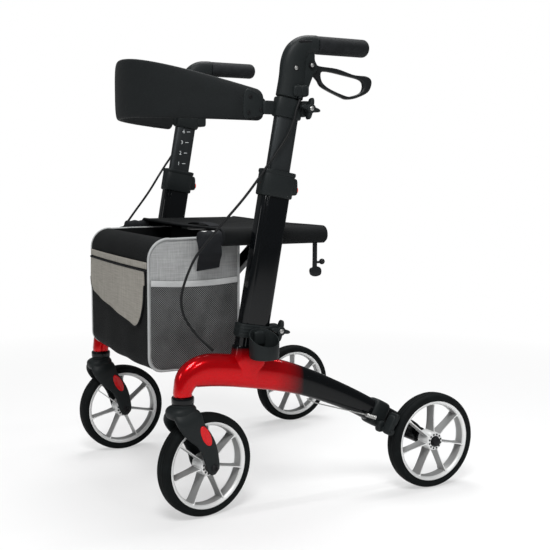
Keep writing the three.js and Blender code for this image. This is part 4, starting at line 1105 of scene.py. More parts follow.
    def clamp(self, name, side):
        """Strap round the tube with ears and an arm, plate on the band's end, screws and star knob."""
        x, z = FRAME_X, CLAMP_Z
        rear = upright_y(z) + 0.028
        front = upright_y(z) - 0.028
        end = BAND_END + 0.004
        strap = leaning("strap", x, z - 0.0185, z + 0.0185, 0.0148, 0.0283, power=4.2, edge=0.003, around=64)
        ears = [
            lump(f"ear{k}", (x + dx, rear + 0.0065, z), (w, 0.0115, 0.015), power=5)
            for k, dx, w in ((0, -0.0075, 0.0055), (1, 0.0085, 0.0065))
        ]
        arm = lump(
            "arm", (x - 0.0035, (end - 0.008 + front) / 2, z + 0.001),
            (0.0045, (front - end + 0.014) / 2, 0.013), power=5
        )
        outline = spline(
            np.array(
                [(-4, 14), (-33, 32), (-46, 31), (-50, 6), (-48, -17), (-35, -19), (-4, -10)]
            ) / 1000 + (end, z), 60, closed=True
        )
        plate = slab("plate", outline, x - 0.008, x - 0.004, edge=0.0015)
        body, shell = f"{name}_handle", (strap, *ears, arm, plate)
        fit(f"{name}_clamp_shell", side, shell, "plastic", body, "black_plastic", f"{name}_backrest_clamp")
        head = [(0, -3.0), (1.8, -3.2), (2.2, -2.4), (3.6, -2.6), (4.0, -3.6), (0, -3.6)]
        head = np.array(head) / 1000 + (0, x)
        places = ((-0.014, -0.004), (-0.040, -0.010), (-0.036, 0.020))
        screws = [turned("screw", head, (0, sy + end, sz + z), around=28) for sy, sz in places]
        fit(f"{name}_plate_screws", side, screws, "hub", body, "black_plastic")
        hand_knob(f"{name}_clamp", side, rear + 0.009, z)


# ---------- wheels ----------


def heading(obj, turn, centre):
    """Turns a mesh made round the origin to its heading and moves it into place."""
    c, s = math.cos(turn), math.sin(turn)
    obj.data.transform(
        Matrix(((c, -s, 0, centre[0]), (s, c, 0, centre[1]), (0, 0, 1, centre[2]), (0, 0, 0, 1)))
    )
    return obj


def painted_shade_faces(rim):
    """Which faces between hub and rim look across the wheel and take the darker silver, a painted shade."""
    spots = np.zeros(3 * len(rim.data.polygons))
    normals = spots.copy()
    rim.data.polygons.foreach_get("center", spots)
    rim.data.polygons.foreach_get("normal", normals)
    reach = np.hypot(*spots.reshape(-1, 3)[:, 1:].T)
    return ((abs(normals[::3]) < 0.6) & (reach > 0.0195) & (reach < 0.0768)).astype(np.int32)


def wheel_pieces(name, turn, centre, sizes):
    """Tyre, rim with fins and hub cap, made round X and turned to the wheel's heading."""
    body = f"{name}_wheel"
    c, s = math.cos(turn), math.sin(turn)
    spin = np.array([[c, -s, 0], [s, c, 0], [0, 0, 1]])
    half = [
        (84.6, 15.3), (88, 16.5), (91.5, 17), (95, 16.4), (97.8, 14.2), (99.2, 11), (99.6, 8.4), (98.9, 7.9),
        (98.9, 7.3), (99.8, 6.8), (100, 4), (100, 0.9), (99.2, 0.5), (99.2, 0)
    ]
    tread = np.array([(r, -w) for r, w in half] + [(r, w) for r, w in half[::-1][1:]]) / 1000
    tyre = turned(f"{name}_tyre_ring", tread, centre, around=128, spin=spin, loop=True)
    dress(tyre, "tyre", body, "tyre", f"{name}_tyre")

    edge = [(77.2, 9.5), (77.6, 11.6), (78.6, 13.0), (82.4, 15.3), (83.4, 15.5), (84.2, 15.0)]
    lip = [(r, -w) for r, w in edge] + edge[::-1] + [(76.2, 6.0), (75.6, 0), (76.2, -6.0)]
    parts = [turned("barrel", np.array(lip) / 1000, (0, 0, 0), around=128, loop=True)]
    fins = np.array(
        [
            (13, 15.8, 3.2), (20, 14.6, 2.1), (34, 12.6, 1.6), (52, 12.0, 1.5), (68, 12.6, 1.7),
            (75, 13.8, 2.4), (79, 14.4, 4.2)
        ]
    ) / 1000
    rows = spline(fins, 30)
    cc, ss = superoval(28, 5.0)
    web = 0.62 + 0.38 * np.abs(cc) ** 6
    for k in range(sizes.spokes):
        grid = np.stack(
            [
                rows[:, 1:2] * cc, rows[:, 2:3] * ss * web * sizes.spoke_thickness / 0.0042,
                rows[:, 0:1] + 0 * cc
            ],
            -1
        )
        a = 2 * math.pi * k / sizes.spokes
        roll = np.array([[1, 0, 0], [0, math.cos(a), -math.sin(a)], [0, math.sin(a), math.cos(a)]])
        parts.append(skin(f"fin{k}", grid @ roll.T))
    hub = [(6.4, -18), (15.5, -18), (18.2, -16.8), (19, -15), (19, 15), (18.2, 16.8), (15.5, 18), (6.4, 18)]
    parts.append(turned("hub", np.array(hub) / 1000, (0, 0, 0), around=56, loop=True))
    rim = merged(f"{name}_rim_fins", *parts)
    # faces inside the rim take the darker silver: painted shade
    shaded = painted_shade_faces(rim)
    dress(heading(rim, turn, centre), "silver", body, "silver_rim", f"{name}_rim")
    rim.data.materials.append(FINISHES["shade"])
    rim.data.polygons.foreach_set("material_index", shaded)

    slots = []
    for end in (-1, 1):
        for k in range(12):
            a = 2 * math.pi * (k + 0.5) / 12
            place = (end * 0.0181, 0.0146 * math.cos(a), 0.0146 * math.sin(a))
            slots.append(lump("slot", place, (0.0005, 0.0019, 0.0019), count=8))
        lip = np.array([(6.8, 17.6), (11.2, 18.4), (12.2, 17.6), (12.2, 15), (6.8, 15)]) / 1000 * (1, end)
        slots.append(turned("lip", lip, (0, 0, 0), around=40, loop=True))
    hub_ring = heading(merged(f"{name}_hub_slots", *slots), turn, centre)
    dress(hub_ring, "hub", body, "black_plastic")


class WALKER_OT_wheels(bpy.types.Operator):
    """Tyres, finned rims and hubs"""

    bl_idname = "walker.wheels"
    bl_label = "Wheels"

    def execute(self, context):
        sizes = context.scene.walker_wheels
        for name, side in SIDES:
            rear = (side * REAR_AXLE[0], REAR_AXLE[1], WHEEL_R)
            wheel_pieces(f"{name}_rear", 0.0, rear, sizes)
            turn = CASTER_TURN[name]
            front = (side * FRAME_X - TRAIL * math.sin(turn), STEER_Y + TRAIL * math.cos(turn), WHEEL_R)
            wheel_pieces(f"{name}_front", turn, front, sizes)
        return {"FINISHED"}


# ---------- casters and brakes ----------


class WALKER_OT_casters(bpy.types.Operator):
    """Front forks with their reflectors, bearing caps and axle bolts"""

    bl_idname = "walker.casters"
    bl_label = "Casters"

    def execute(self, context):
        top = HEAD_Z - 0.0143
        for name, side in SIDES:
            centre = (side * FRAME_X, STEER_Y, 0)
            turn = CASTER_TURN[name]
            legs = []
            for end in (-1, 1):
                path = np.array(
                    [
                        (4, -4, 209), (13, -4, 209), (21, -3, 204.5), (26.4, 0, 196), (28.3, 6, 184),
                        (28.5, 16, 171), (28.5, 28.5, 157.5), (28.5, 38, 141), (28.5, 45, 120),
                        (28.5, 48.6, 101), (28.5, 49, 93), (28.5, 49.4, 86)
                    ]
                ) / 1000
                path[:, 0] *= end
                wide = np.array([23, 25, 26.5, 26.5, 24.5, 21, 18.6, 17.6, 16.2, 14.6, 11.5, 5]) / 1000
                thick = np.array([8.5, 8.5, 8.2, 7.2, 6.2, 5.8, 5.5, 5.5, 5.5, 5.5, 4.8, 2]) / 1000
                rows = spline(np.column_stack([path, thick, wide]), 70)
                legs.append(
                    tube(
                        f"leg{end}", rows[:, :3], rows[:, 3], around=36, hint=(1, 0, 0), power=2.5,
                        other=rows[:, 4]
                    )
                )
            crown = lump(
                "crown", (0, -0.004, top - 0.0142), (0.0262, 0.0278, 0.0142), power=2.7, tilt=0.12, count=40
            )
            seat = turned("seat", eased(0.0205, top - 0.014, top, 0.001), (0, 0, 0), "z")
            fork = heading(merged(f"{name}_fork_shell", *legs, crown, seat), turn, centre)
            dress(fork, "plastic", f"{name}_caster", "black_plastic", f"{name}_fork")

            cap = turned(
                f"{name}_bearing_cap",
                [
                    (0, HEAD_Z - 0.0138), (0.0203, HEAD_Z - 0.0138), (0.0213, HEAD_Z - 0.0125),
                    (0.0215, HEAD_Z - 0.0035), (0.0208, HEAD_Z - 0.0012), (0.0195, HEAD_Z - 0.0003),
                    (0, HEAD_Z - 0.0003)
                ],
                (side * FRAME_X, STEER_Y, 0), "z", 56,
            )
            dress(cap, "black", f"{name}_frame", "black_plastic", f"{name}_head_bearing")

            a = np.linspace(0, 2 * math.pi, 48, endpoint=False)
            tilt = math.radians(27)
            lean = np.array([[math.cos(tilt), -math.sin(tilt)], [math.sin(tilt), math.cos(tilt)]])
            outline = np.stack([0.0092 * np.cos(a), 0.0222 * np.sin(a)], -1) @ lean.T + (0.0300, 0.1655)
            faces = (sorted((end * 0.0325, end * 0.0349)) for end in (-1, 1))
            inserts = [slab("insert", outline, *pair, edge=0.0009) for pair in faces]
            insert = heading(merged(f"{name}_fork_reflectors", *inserts), turn, centre)
            dress(insert, "reflector", f"{name}_caster", "red_plastic")

            bolts = [
                turned(
                    f"b{end}",
                    [
                        (0, end * 0.0352), (0.0030, end * 0.0352), (0.0034, end * 0.0366),
                        (0.0058, end * 0.0368), (0.0070, end * 0.0356), (0.0070, end * 0.033),
                        (0, end * 0.033)
                    ],
                    (0, TRAIL, WHEEL_R), around=40,
                )
                for end in (-1, 1)
            ]
            dress(
                heading(merged(f"{name}_axle_bolts", *bolts), turn, centre), "hub", f"{name}_caster",
                "steel", f"{name}_front_axle"
            )
            spacer = turned(
                f"{name}_axle_spacer",
                [
                    (0, -0.0225), (0.0095, -0.0225), (0.0095, -0.0182), (0.006, -0.018), (0.006, 0.018),
                    (0.0095, 0.0182), (0.0095, 0.0225), (0, 0.0225)
                ],
                (0, TRAIL, WHEEL_R), around=32,
            )
            dress(heading(spacer, turn, centre), "zinc", f"{name}_caster", "steel")
            finish_node(f"{name}_caster_stem", "zinc")

            cap = turned(
                "cap",
                [
                    (0, 0.329), (0.005, 0.3288), (0.0085, 0.3272), (0.0098, 0.3245), (0.0100, 0.3205),
                    (0, 0.3205)
                ],
                (0, *REAR_AXLE[1:]), around=40
            )
            collar = turned("collar", eased(0.0098, FRAME_X + 0.0143, 0.2837, 0.0015), (0, *REAR_AXLE[1:]))
            nut = turned(
                "nut", eased(0.0088, FRAME_X - 0.0223, FRAME_X - 0.0143, 0.001), (0, *REAR_AXLE[1:]),
                around=6
            )
            axle = (cap, collar, nut)
            fit(f"{name}_axle_caps", side, axle, "hub", f"{name}_frame", "steel", f"{name}_rear_axle")
        return {"FINISHED"}


class WALKER_OT_brakes(bpy.types.Operator):
    """Brake brackets, shoes, lower cable runs and adjusters"""

    bl_idname = "walker.brakes"
    bl_label = "Brakes"

    def execute(self, context):
        for name, side in SIDES:
            y, z = 0.1393, 0.131
            run, rise = BEAM[11, :2] - BEAM[10, :2]
            slope = math.atan2(rise, run)
            x = FRAME_X
            sleeve = lump("sleeve", (x, y, 0.159), (0.0205, 0.020, 0.0275), power=5, tilt=slope)
            boss = lump("boss", (x + 0.021, y - 0.002, z + 0.004), (0.009, 0.0085, 0.0115), power=4)
            pin = turned("pin", eased(0.0045, x + 0.02, 0.3165, 0.0012), (0, y, z), around=28)
            bracket, body = (sleeve, boss, pin), f"{name}_frame"
            fit(
                f"{name}_bracket_shell", side, bracket, "plastic", body, "black_plastic",
                f"{name}_brake_bracket"
            )

            a = math.radians(150)
            r = 0.1085
            touch = (0.302, REAR_AXLE[1] + r * math.cos(a), WHEEL_R + r * math.sin(a))
            pad = lump("pad", touch, (0.014, 0.0125, 0.0048), power=5, tilt=a + math.pi / 2)
            arm = lump(
                "arm", (0.302, y + 0.004, z + 0.012), (0.0118, 0.0068, 0.0205), power=4,
                tilt=math.radians(-28)
            )
            eye = turned("eye", eased(0.0074, 0.2903, 0.3137, 0.001), (0, y, z), around=36)
            shoe, body = (pad, arm, eye), f"{name}_shoe"
            fit(f"{name}_shoe_arm", side, shoe, "plastic", body, "black_plastic", f"{name}_brake_shoe")

            run = [
                (0.2600, -0.030, 0.2080), (0.2655, -0.012, 0.1985), (0.2690, 0.020, 0.1885),
                (0.2715, 0.062, 0.1755), (0.2745, 0.103, 0.1630)
            ]
            wire = mirror(tube(f"{name}_lower_wire", spline(run, 60), 0.0012, hint=(0, 0, 1)), side)
            dress(wire, "zinc", f"{name}_frame", "steel")
            tip, aim = np.array((0.2745, 0.101, 0.1635)), unit(np.array((0.002, 0.030, -0.012)))
            along = np.linspace(0, 0.026, 27)
            barrel_r = 0.0034 + 0.0008 * ((np.arange(27) % 4) < 2)
            barrel_r[[0, -1]] = 0.002
            barrel = tube(
                f"{name}_cable_adjuster", tip + along[:, None] * aim, barrel_r, around=20, hint=(0, 0, 1)
            )
            dress(mirror(barrel, side), "zinc", f"{name}_frame", "steel")
        return {"FINISHED"}


# ---------- brace and seat ----------


def finish_node(node, finish):
    """A CAD piece that keeps its own shape and takes a finish."""
    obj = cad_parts[node]
    for part in obj.material_slots:
        part.material = FINISHES[finish]


class WALKER_OT_brace(bpy.types.Operator):
    """Crossed struts, their pins, the seat rails and saddles"""

    bl_idname = "walker.brace"
    bl_label = "Cross brace"

    def execute(self, context):
        for strut, (name, side) in zip(("strut_a", "strut_b"), SIDES):
            lane = PIVOT_Y[name]
            start = np.array((PIVOT_X * side, PIVOT_Z))
            end = np.array((-RAIL_X * side, RAIL_Z))
            along = unit(end - start)
            across = np.array((-along[1], along[0]))
            t = np.linspace(-math.pi / 2, math.pi / 2, 20)[:, None]
            tip = 0.0125 * (along * np.cos(t) + across * np.sin(t))
            faces = (lane - STRUT_HALF, lane + STRUT_HALF)
            bar = slab("bar", np.vstack([end + tip, start - tip]), *faces, axis="y", edge=0.004)
            eye = turned("eye", eased(0.0142, *faces, 0.0015), (end[0], 0, end[1]), "y")
            dress(merged(f"{strut}_bar", bar, eye), "black", strut, "black_paint", strut)
        z = middle("centre_pin")[2]
        heads = []
        for y0, y1 in ((-0.1382, -0.1348), (-0.0918, -0.0952)):
            profile = [(0, y0), (0.006, y0), (0.0092, y0 + (y1 - y0) * 0.3), (0.0098, y1), (0, y1)]
            heads.append(turned("head", profile, (0, 0, z), "y", 40))
        dress(merged("centre_rivet", *heads), "zinc", "strut_a", "steel", "centre_pin")
        for name, side in SIDES:
            r, y0, y1 = 0.011, -0.240, 0.036
            profile = [
                (0, y0), (0.008, y0), (0.0102, y0 + 0.0008), (r, y0 + 0.003), (r, y1 - 0.0135),
                (0.0128, y1 - 0.0125), (0.0139, y1 - 0.0105), (0.0139, y1 - 0.004), (0.012, y1 - 0.001),
                (0.008, y1), (0, y1)
            ]
            rail = turned(f"{name}_rail_bar", profile, (side * RAIL_X, 0, RAIL_Z), "y", 48)
            dress(rail, "black", f"{name}_rail", "black_paint", f"{name}_seat_rail")
            self.hanger(name, side)
            lane = PIVOT_Y[name]
            a = np.linspace(0, math.pi, 24)
            inner = np.stack(
                [RAIL_X + 0.0116 * np.cos(a + math.pi), RAIL_Z + 0.0116 * np.sin(a + math.pi)], -1
            )
            wall, end = FRAME_X - 0.0154, RAIL_X - 0.0154
            under = RAIL_Z - 0.017
            rest = [
                (wall, RAIL_Z), (wall, under), (RAIL_X - 0.008, under), (end, RAIL_Z - 0.010), (end, RAIL_Z)
            ]
            faces = (lane - STRUT_HALF, lane + STRUT_HALF)
            saddle = slab(f"{name}_saddle_cradle", np.vstack([inner, rest]), *faces, axis="y", edge=0.001)
            dress(mirror(saddle, side), "plastic", f"{name}_frame", "black_plastic", f"{name}_seat_saddle")
        return {"FINISHED"}

    def hanger(self, name, side):
        """Cloth loop over the rail's front end that carries the bag, its tail sewn to the side panel."""
        t = np.linspace(0, 1, 34)
        r = 0.0140 + 0.0010 * np.sin(17 * t) * np.sin(math.pi * t)
        r[:4] = (0.004, 0.0095, 0.0125, 0.0138)
        y = -0.2455 + 0.0535 * t
        sleeve = tube(
            "sleeve", np.column_stack([0 * t + RAIL_X, y, 0 * t + RAIL_Z]), r, around=36, hint=(1, 0, 0),
            power=2.6
        )
        path = spline(
            [(0.2262, RAIL_Z + 0.004), (0.2266, 0.518), (0.2205, 0.501), (0.2050, 0.488), (0.1895, 0.470)],
            36
        )
        line = np.column_stack([path[:, 0], np.linspace(-0.231, -0.214, 36), path[:, 1]])
        tail = tube("tail", line, 0.0235, around=24, hint=(0, 1, 0), power=6, other=0.0012)
        fit(f"{name}_bag_hanger", side, (sleeve, tail), "webbing", f"{name}_rail", "black_cloth")


class WALKER_OT_seat(bpy.types.Operator):
    """Woven sling seat with bound edges and a lifting strap"""

    bl_idname = "walker.seat"
    bl_label = "Seat"

    def execute(self, context):
        y0, y1 = -0.197, 0.030
        span, sag = 0.2, 0.0035
        r = 0.0145
        a = np.radians(np.linspace(-75, 88, 24))
        right = np.stack([RAIL_X + r * np.cos(a), RAIL_Z + 0.0012 + r * np.sin(a)], -1)
        half = np.vstack([right, [(0.16, 0.5463), (0.08, 0.5450), (0.0, 0.5446)]])
        path = np.vstack([half, (half * (-1, 1))[::-1][1:]])
        path = even(path, 160)
        tangent = unit(np.gradient(path, axis=0))
        normal = np.stack([-tangent[:, 1], tangent[:, 0]], -1)
        outward = normal * np.sign((normal[80] @ (0, 1)))
        thick = 0.0026
        ring = np.vstack([path + outward * thick, path[::-1]])
        v = np.linspace(y0, y1, 60)
        crown = 1 - abs((v - (y0 + y1) / 2) / ((y1 - y0) / 2)) ** 6
        grid = np.empty((60, len(ring), 3))
        grid[..., 0] = ring[:, 0]
        grid[..., 1] = v[:, None]
        inside = (abs(ring[:, 0]) < span) * (1 - (ring[:, 0] / span) ** 2)
        grid[..., 2] = ring[:, 1] - sag * inside * crown[:, None]
        grid[..., 2] += 0.0006 * inside * np.sin(ring[:, 0] * 90 + 3 * np.sin(v[:, None] * 25))
        seat = skin("seat_sling", grid)
        dress(seat, "seat", "left_rail", "black_cloth", "seat_fabric")
        edges = []
        for k, y in ((0, y0), (-1, y1)):
            height = path[:, 1] + thick / 2 - sag * crown[k] * (abs(path[:, 0]) < span)
            edges.append(
                tube(
                    "edge", np.column_stack([path[:, 0], np.full(len(path), y), height]), 0.0030,
                    hint=(0, 1, 0)
                )
            )
        binding = merged("seat_binding", *edges)
        dress(binding, "piping", "left_rail", "black_cloth")
        t = np.linspace(0, 1, 40)
        strap_line = np.column_stack(
            [0.080 - 0.115 * t, np.full(40, -0.150), 0.5452 + 0.0052 * np.sin(math.pi * t) ** 0.6]
        )
        strap = tube("seat_strap", strap_line, 0.0125, around=20, hint=(0, 1, 0), power=5, other=0.0011)
        dress(strap, "webbing", "left_rail", "black_cloth")
        fold_up((seat, binding, strap))
        return {"FINISHED"}


# ---------- backrest ----------


class WALKER_OT_backrest(bpy.types.Operator):
    """Bowed foam band between the handles"""

    bl_idname = "walker.backrest"
    bl_label = "Backrest"

    def execute(self, context):
        half, bow = 0.2387, 0.199
        x = half * np.sin(np.linspace(-math.pi / 2, math.pi / 2, 140))
        k = 1 - (x / half) ** 2
        y = BAND_END - bow * k
        slope = 2 * bow * x / half**2
        across = unit(np.column_stack([slope, -np.ones_like(x)]))
        lo = 0.755 + 0.009 * k
        hi = 0.812 + 0.070 * k
        length = np.concatenate([[0], np.cumsum(np.hypot(np.diff(x), np.diff(y)))])
        corner = (1 - np.minimum(length, length[-1] - length) / 0.013).clip(0, 1)
        mid, tall = (lo + hi) / 2, (hi - lo) / 2 - 0.013 * (1 - np.sqrt(1 - corner**2))
        swell = 0.0068 + 0.0012 * np.clip(k * 4, 0, 1)
        c, s = superoval(48, 3.4)
        grid = np.empty((len(x), 48, 3))
        off = swell[:, None] * c
        grid[..., 0] = x[:, None] + across[:, :1] * off
        grid[..., 1] = y[:, None] + across[:, 1:] * off
        grid[..., 2] = mid[:, None] + tall[:, None] * s
        band = skin("backrest_band", grid)
        dress(band, "foam", "left_handle", "foam", "backrest")
        fold_up([band])
        return {"FINISHED"}


# ---------- bag ----------

BAG = {"x": 0.180, "front": -0.334, "rear": -0.143, "low": 0.274, "top": 0.534}
FRONT_BOW = 0.0047  # swell of the front face
FLAP_TOP = 0.4695


def bag_outline(inset=0.0):
    """Side outline from the rear top corner down, under and up to the leaning front top edge."""
    y0, y1 = BAG["front"] + inset, BAG["rear"] - inset
    z0 = BAG["low"] + inset
    r = 0.026 - inset * 0.5
    q = np.linspace(0, math.pi / 2, 12)
    parts = [
        [(y1, BAG["top"] - 0.004)],
        np.stack([y1 - r + r * np.cos(q), z0 + r - r * np.sin(q)], -1),
        np.stack([y0 + r - r * np.sin(q), z0 + r - r * np.cos(q)], -1),
        [(y0, 0.40), (y0, 0.470)],
        np.stack([y0 + 0.040 - 0.040 * np.cos(q), 0.490 + 0.040 * np.sin(q)], -1),
    ]
    return np.vstack(parts)


class WALKER_OT_bag(bpy.types.Operator):
    """Shopping bag: wrap, side panels, piping, front band, flap and side pocket"""

    bl_idname = "walker.bag"
    bl_label = "Bag"

    def execute(self, context):
        pieces = []
        half = BAG["x"]
        path = even(bag_outline(), 140)
        tangent = unit(np.gradient(path, axis=0))
        outward = np.stack([tangent[:, 1], -tangent[:, 0]], -1)
        centre = path.mean(0)
        if ((path - centre) * outward).sum() < 0:
            outward = -outward
        thick = 0.0022
        ring = np.vstack([path, (path - outward * thick)[::-1]])
        out2 = np.vstack([outward, outward[::-1]])
        x = np.linspace(-half, half, 70)
        belly = (1 - (x / half) ** 2)[:, None]
        s = np.concatenate([np.linspace(0, 1, 140), np.linspace(1, 0, 140)])
        calm = np.sin(math.pi * np.clip(s, 0, 1)) ** 0.5
        puff = 0.0045 * belly * calm + 0.0011 * calm * np.sin(x[:, None] * 55 + 6 * s) * belly
        grid = np.empty((70, len(ring), 3))
        grid[..., 0] = x[:, None]
        grid[..., 1:] = ring + puff[..., None] * out2
        wrap = skin("bag_wrap", grid)
        pieces.append(dress(wrap, "black_cloth", "left_rail", "black_cloth"))

        top = BAG["top"] - 0.004
        front, rear = BAG["front"], BAG["rear"]
        lid = [(front + 0.044, top - 0.001), (front + 0.10, top), (rear - 0.05, top), (rear - 0.003, top)]
        closed = np.vstack([even(bag_outline(0.001), 150), lid])
        rim = even(closed, 160, closed=True)
        hub = np.array((rim[:, 0].mean(), rim[:, 1].mean()))
        share = np.linspace(0.02, 1, 26)
        for name, side in SIDES:
            spread = hub + share[:, None, None] * (rim - hub)
            wave = np.sin(spread[..., 0] * 48) * np.sin(spread[..., 1] * 37)
            puffed = 0.0042 * (1 - share**2)[:, None] + 0.0010 * wave * (1 - share**4)[:, None]
            outer = np.concatenate([(side * (half + puffed))[..., None], spread], -1)
            inner = np.concatenate([(side * (half - 0.002 + puffed))[..., None], spread], -1)
            panel = skin(f"{name}_bag_panel", np.concatenate([outer, inner[::-1]]))
            pieces.append(
                dress(panel, "grey_cloth", "left_rail", "grey_cloth", *(["bag"] if side > 0 else []))
            )
            edge = np.column_stack([np.full(len(rim), side * (half + 0.0005)), rim])
            cord = tube(f"{name}_bag_piping", edge, 0.0026, hint=(1, 0, 0), loop=True)
            pieces.append(dress(cord, "grey_piping", "left_rail", "grey_cloth"))
            lining = np.concatenate([(side * (half - 0.0026 + puffed))[..., None], spread], -1)
            back = lining - (side * 0.0010, 0, 0)
            inside = skin(f"{name}_bag_lining", np.concatenate([lining, back[::-1]]))
            pieces.append(dress(inside, "black_cloth", "left_rail", "black_cloth"))
            pieces += self.pocket(name, side, half)
        fold_up(pieces)

        xs = np.linspace(-0.178, 0.176, 60)
        swell = FRONT_BOW * (1 - (xs / half) ** 2)
        band_line = np.column_stack([xs, front - 0.0012 - swell, np.full(60, 0.4795)])
        band = tube("bag_front_band", band_line, 0.0011, around=20, hint=(0, 1, 0), power=4, other=0.0065)
        dress(band, "beige_cloth", "left_rail", "beige_cloth")
        cord_line = np.column_stack([xs, front - 0.0022 - swell, np.full(60, FLAP_TOP)])
        line = tube("bag_front_piping", cord_line, 0.0021, hint=(0, 1, 0))
        dress(line, "piping", "left_rail", "black_cloth")
        fold_up((band, line))

        xs = np.linspace(-0.1755, 0.166, 90)
        low_edge = flap_low(xs)
        v = np.linspace(0, 1, 30)[:, None]
        z = FLAP_TOP + (low_edge - FLAP_TOP) * v
        swell = FRONT_BOW * (1 - (xs / half) ** 2) + 0.0010 * np.sin(xs * 60) * v
        y = front - 0.0022 - swell + 0 * v
        outer = np.stack([xs + 0 * z, y - 0.0012, z], -1)
        inner = np.stack([xs + 0 * z, y + 0.0006, z], -1)
        flap = skin("bag_flap_cloth", np.concatenate([outer, inner[::-1]]).transpose(1, 0, 2))
        dress(flap, "beige_cloth", "bag_flap", "beige_cloth", "bag_flap")
        face = front - 0.0022 - FRONT_BOW * (1 - (xs / half) ** 2) - 0.0010 * np.sin(xs * 60)
        edge = np.column_stack([xs, face - 0.0004, low_edge])
        hem = tube("bag_flap_hem", edge, 0.0017, hint=(0, 1, 0))
        dress(hem, "piping", "bag_flap", "black_cloth")
        area = float((FLAP_TOP - low_edge)[:-1] @ np.diff(xs))
        fold_up((flap, hem))
        return {"FINISHED"}

    def pocket(self, name, side, half):
        """Net pocket under an elastic band; it bellies out by a power of sin(pi u) sin(pi v)."""
        y = np.linspace(BAG["front"] + 0.005, BAG["rear"] - 0.005, 60)
        r = 0.024
        near = (1 - np.minimum(y - y[0], y[-1] - y) / r).clip(0, 1)
        low_z = BAG["low"] + 0.005 + r * (1 - np.sqrt(1 - near**2))
        top_z = 0.446 - 0.004 * np.sin((y - y[0]) / (y[-1] - y[0]) * math.pi)
        v = np.linspace(0, 1, 40)[:, None]
        z = top_z + (low_z - top_z) * v
        u = (y - y[0]) / (y[-1] - y[0])
        belly = (np.sin(math.pi * u) * np.sin(math.pi * (0.12 + 0.86 * v))) ** 0.55
        out = half + 0.0026 + belly * (0.0060 + 0.0006 * np.sin(31 * u + 9 * v))
        outer = np.stack([side * out, y + 0 * z, z], -1)
        net = skin(
            f"{name}_pocket_net",
            np.concatenate([outer, (outer - (side * 0.0008, 0, 0))[::-1]]).transpose(1, 0, 2)
        )
        dress(net, "net", "left_rail", "black_cloth")
        line = np.column_stack([side * (out[0] + 0.0006), y, top_z])
        elastic = tube(
            f"{name}_pocket_elastic", line, 0.0014, around=16, hint=(1, 0, 0), power=4, other=0.0058
        )
        dress(elastic, "elastic", "left_rail", "grey_cloth")
        return [net, elastic]


def flap_low(x):
    """Lower edge of the flap: a slope from the right down to a low near the left, with rounded ends."""
    base = 0.392 - (x + 0.148) * 0.030 / 0.218
    right = np.clip((x + 0.1755) / 0.030, 0, 1)
    left = np.clip((0.166 - x) / 0.052, 0, 1)
    lift_r = 0.030 * (1 - np.sqrt(1 - (1 - right) ** 2 * 0.999))
    lift_l = 0.095 * (1 - np.sqrt(1 - (1 - left) ** 2 * 0.999))
    return base + lift_r + lift_l


# ---------- cup, latch ----------


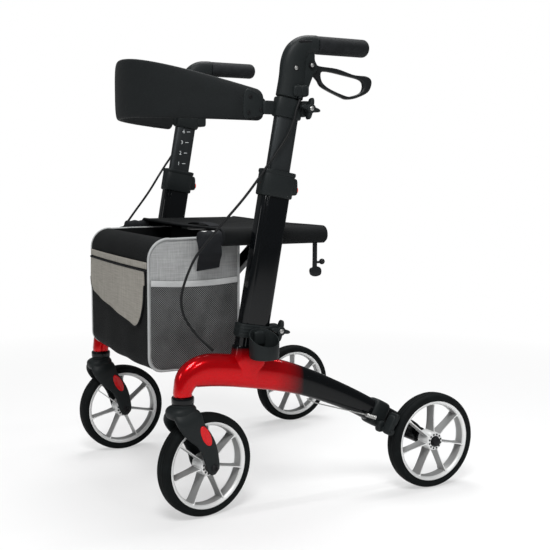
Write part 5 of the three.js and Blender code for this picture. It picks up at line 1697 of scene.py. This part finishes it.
class WALKER_OT_cup(bpy.types.Operator):
    """Cane cup with its strap and knob, and the fold latch"""

    bl_idname = "walker.cup"
    bl_label = "Cup and latch"

    def execute(self, context):
        x0, y0 = 0.300, -0.147
        low_z, back, front = 0.306, 0.362, 0.333
        a = np.linspace(0, 2 * math.pi, 72, endpoint=False)
        outer = np.array(
            [
                (0, 0), (0.018, 0), (0.0245, 0.01), (0.0275, 0.06), (0.0284, 0.14), (0.0288, 0.5),
                (0.029, 0.95), (0.0288, 0.99), (0.0278, 1.0), (0.0268, 0.99), (0.0264, 0.95), (0.0262, 0.3),
                (0.0255, 0.09), (0.022, 0.072), (0, 0.07)
            ]
        )
        r = outer[:, :1]
        cx, cy = r * np.cos(a), r * np.sin(a)
        mouth = (back + front) / 2 + (front - back) / 2 * np.cos(a)
        z = low_z + outer[:, 1:] * (mouth - low_z)
        cup = skin("cup", np.stack([x0 + cx, y0 + cy, z], -1))
        zc, rear = CUP_Z, upright_y(CUP_Z) + 0.034
        strap = leaning(
            "strap", FRAME_X, zc - 0.013, zc + 0.013, 0.0193, 0.0343, power=4.5, edge=0.002, around=64
        )
        ribs = []
        for k in range(4):
            step = 0.0057 * k
            span = (zc - 0.0085 + step, zc - 0.0055 + step)
            ribs.append(leaning("rib", FRAME_X, *span, 0.0201, 0.0351, power=4.5, edge=0.001, around=64))
        ears = [
            lump("ear", (FRAME_X + dx, rear + 0.009, zc), (w, 0.0145, 0.0105), power=5)
            for dx, w in ((-0.0065, 0.0045), (0.0085, 0.0065))
        ]
        bridge = lump("bridge", (FRAME_X + 0.021, y0, 0.343), (0.010, 0.012, 0.014), power=5)
        holder = merged("cup_holder", cup, strap, *ribs, *ears, bridge)
        dress(holder, "plastic", "left_frame", "black_plastic", "cane_cup")
        hand_knob("cup", 1, rear + 0.014, zc)
        self.latch()
        return {"FINISHED"}

    def latch(self):
        """Loop round the left rail's rear end, the strap below it and the paddle with its ball."""
        a = np.linspace(0, 2 * math.pi, 72, endpoint=False)
        ly = 0.012
        ring = tube(
            "ring",
            np.stack([RAIL_X + 0.0131 * np.cos(a), np.full(72, ly), RAIL_Z + 0.0131 * np.sin(a)], -1),
            0.0055, around=20, hint=(0, 1, 0), power=4, other=0.0014, loop=True
        )
        strap_line = spline(
            [
                (RAIL_X, ly, RAIL_Z - 0.013), (RAIL_X + 0.0003, ly, RAIL_Z - 0.04),
                (RAIL_X, ly, RAIL_Z - 0.068)
            ],
            30
        )
        band = tube("band", strap_line, 0.0052, around=20, hint=(0, 1, 0), power=4, other=0.0014)
        low_p = RAIL_Z - 0.081
        outline = spline(
            np.array([(-10, 14), (8, 17), (15, 10), (13, 0), (0, -3), (-10, 2)]) / 1000 + (ly, low_p), 60,
            closed=True
        )
        paddle = slab("paddle", outline, RAIL_X - 0.003, RAIL_X + 0.003, edge=0.0018)
        stalk = turned("stalk", eased(0.0025, ly, ly + 0.014, 0.0005), (RAIL_X, 0, low_p + 0.026), "y", 20)
        ball = lump("ball", (RAIL_X, ly + 0.017, low_p + 0.027), (0.006, 0.006, 0.006), power=2)
        fit(
            "latch_strap", 1, (ring, band, paddle, stalk, ball), "soft_plastic", "latch", "black_plastic",
            "fold_latch"
        )


# ---------- panel ----------


class WALKER_PT_panel(bpy.types.Panel):
    """Lists the walker's pieces and its sizes and colours"""

    bl_label = "Walker"
    bl_space_type = "VIEW_3D"
    bl_region_type = "UI"
    bl_category = "Walker"

    def draw(self, context):
        layout = self.layout
        for group in ("walker_paint", "walker_cloth", "walker_wheels"):
            box = layout.box()
            settings = getattr(context.scene, group)
            for key in settings.__annotations__:
                box.prop(settings, key)
        for operator in OPERATORS:
            layout.operator(operator.bl_idname)


GROUPS = (("walker_paint", WalkerPaint), ("walker_cloth", WalkerCloth), ("walker_wheels", WalkerWheels))
OPERATORS = (
    WALKER_OT_stage,
    WALKER_OT_cables,
    WALKER_OT_side_frames,
    WALKER_OT_handles,
    WALKER_OT_wheels,
    WALKER_OT_casters,
    WALKER_OT_brakes,
    WALKER_OT_brace,
    WALKER_OT_seat,
    WALKER_OT_backrest,
    WALKER_OT_bag,
    WALKER_OT_cup,
)


def register():
    for name, group in GROUPS:
        bpy.utils.register_class(group)
        setattr(bpy.types.Scene, name, bpy.props.PointerProperty(type=group))
    for operator in OPERATORS:
        bpy.utils.register_class(operator)
    bpy.utils.register_class(WALKER_PT_panel)


def unregister():
    bpy.utils.unregister_class(WALKER_PT_panel)
    for operator in reversed(OPERATORS):
        bpy.utils.unregister_class(operator)
    for name, group in reversed(GROUPS):
        delattr(bpy.types.Scene, name)
        bpy.utils.unregister_class(group)


def main():
    register()
    make_finishes(bpy.context.scene)
    for operator in OPERATORS:
        group, call = operator.bl_idname.split(".")
        getattr(getattr(bpy.ops, group), call)()


if __name__ == "__main__":
    main()
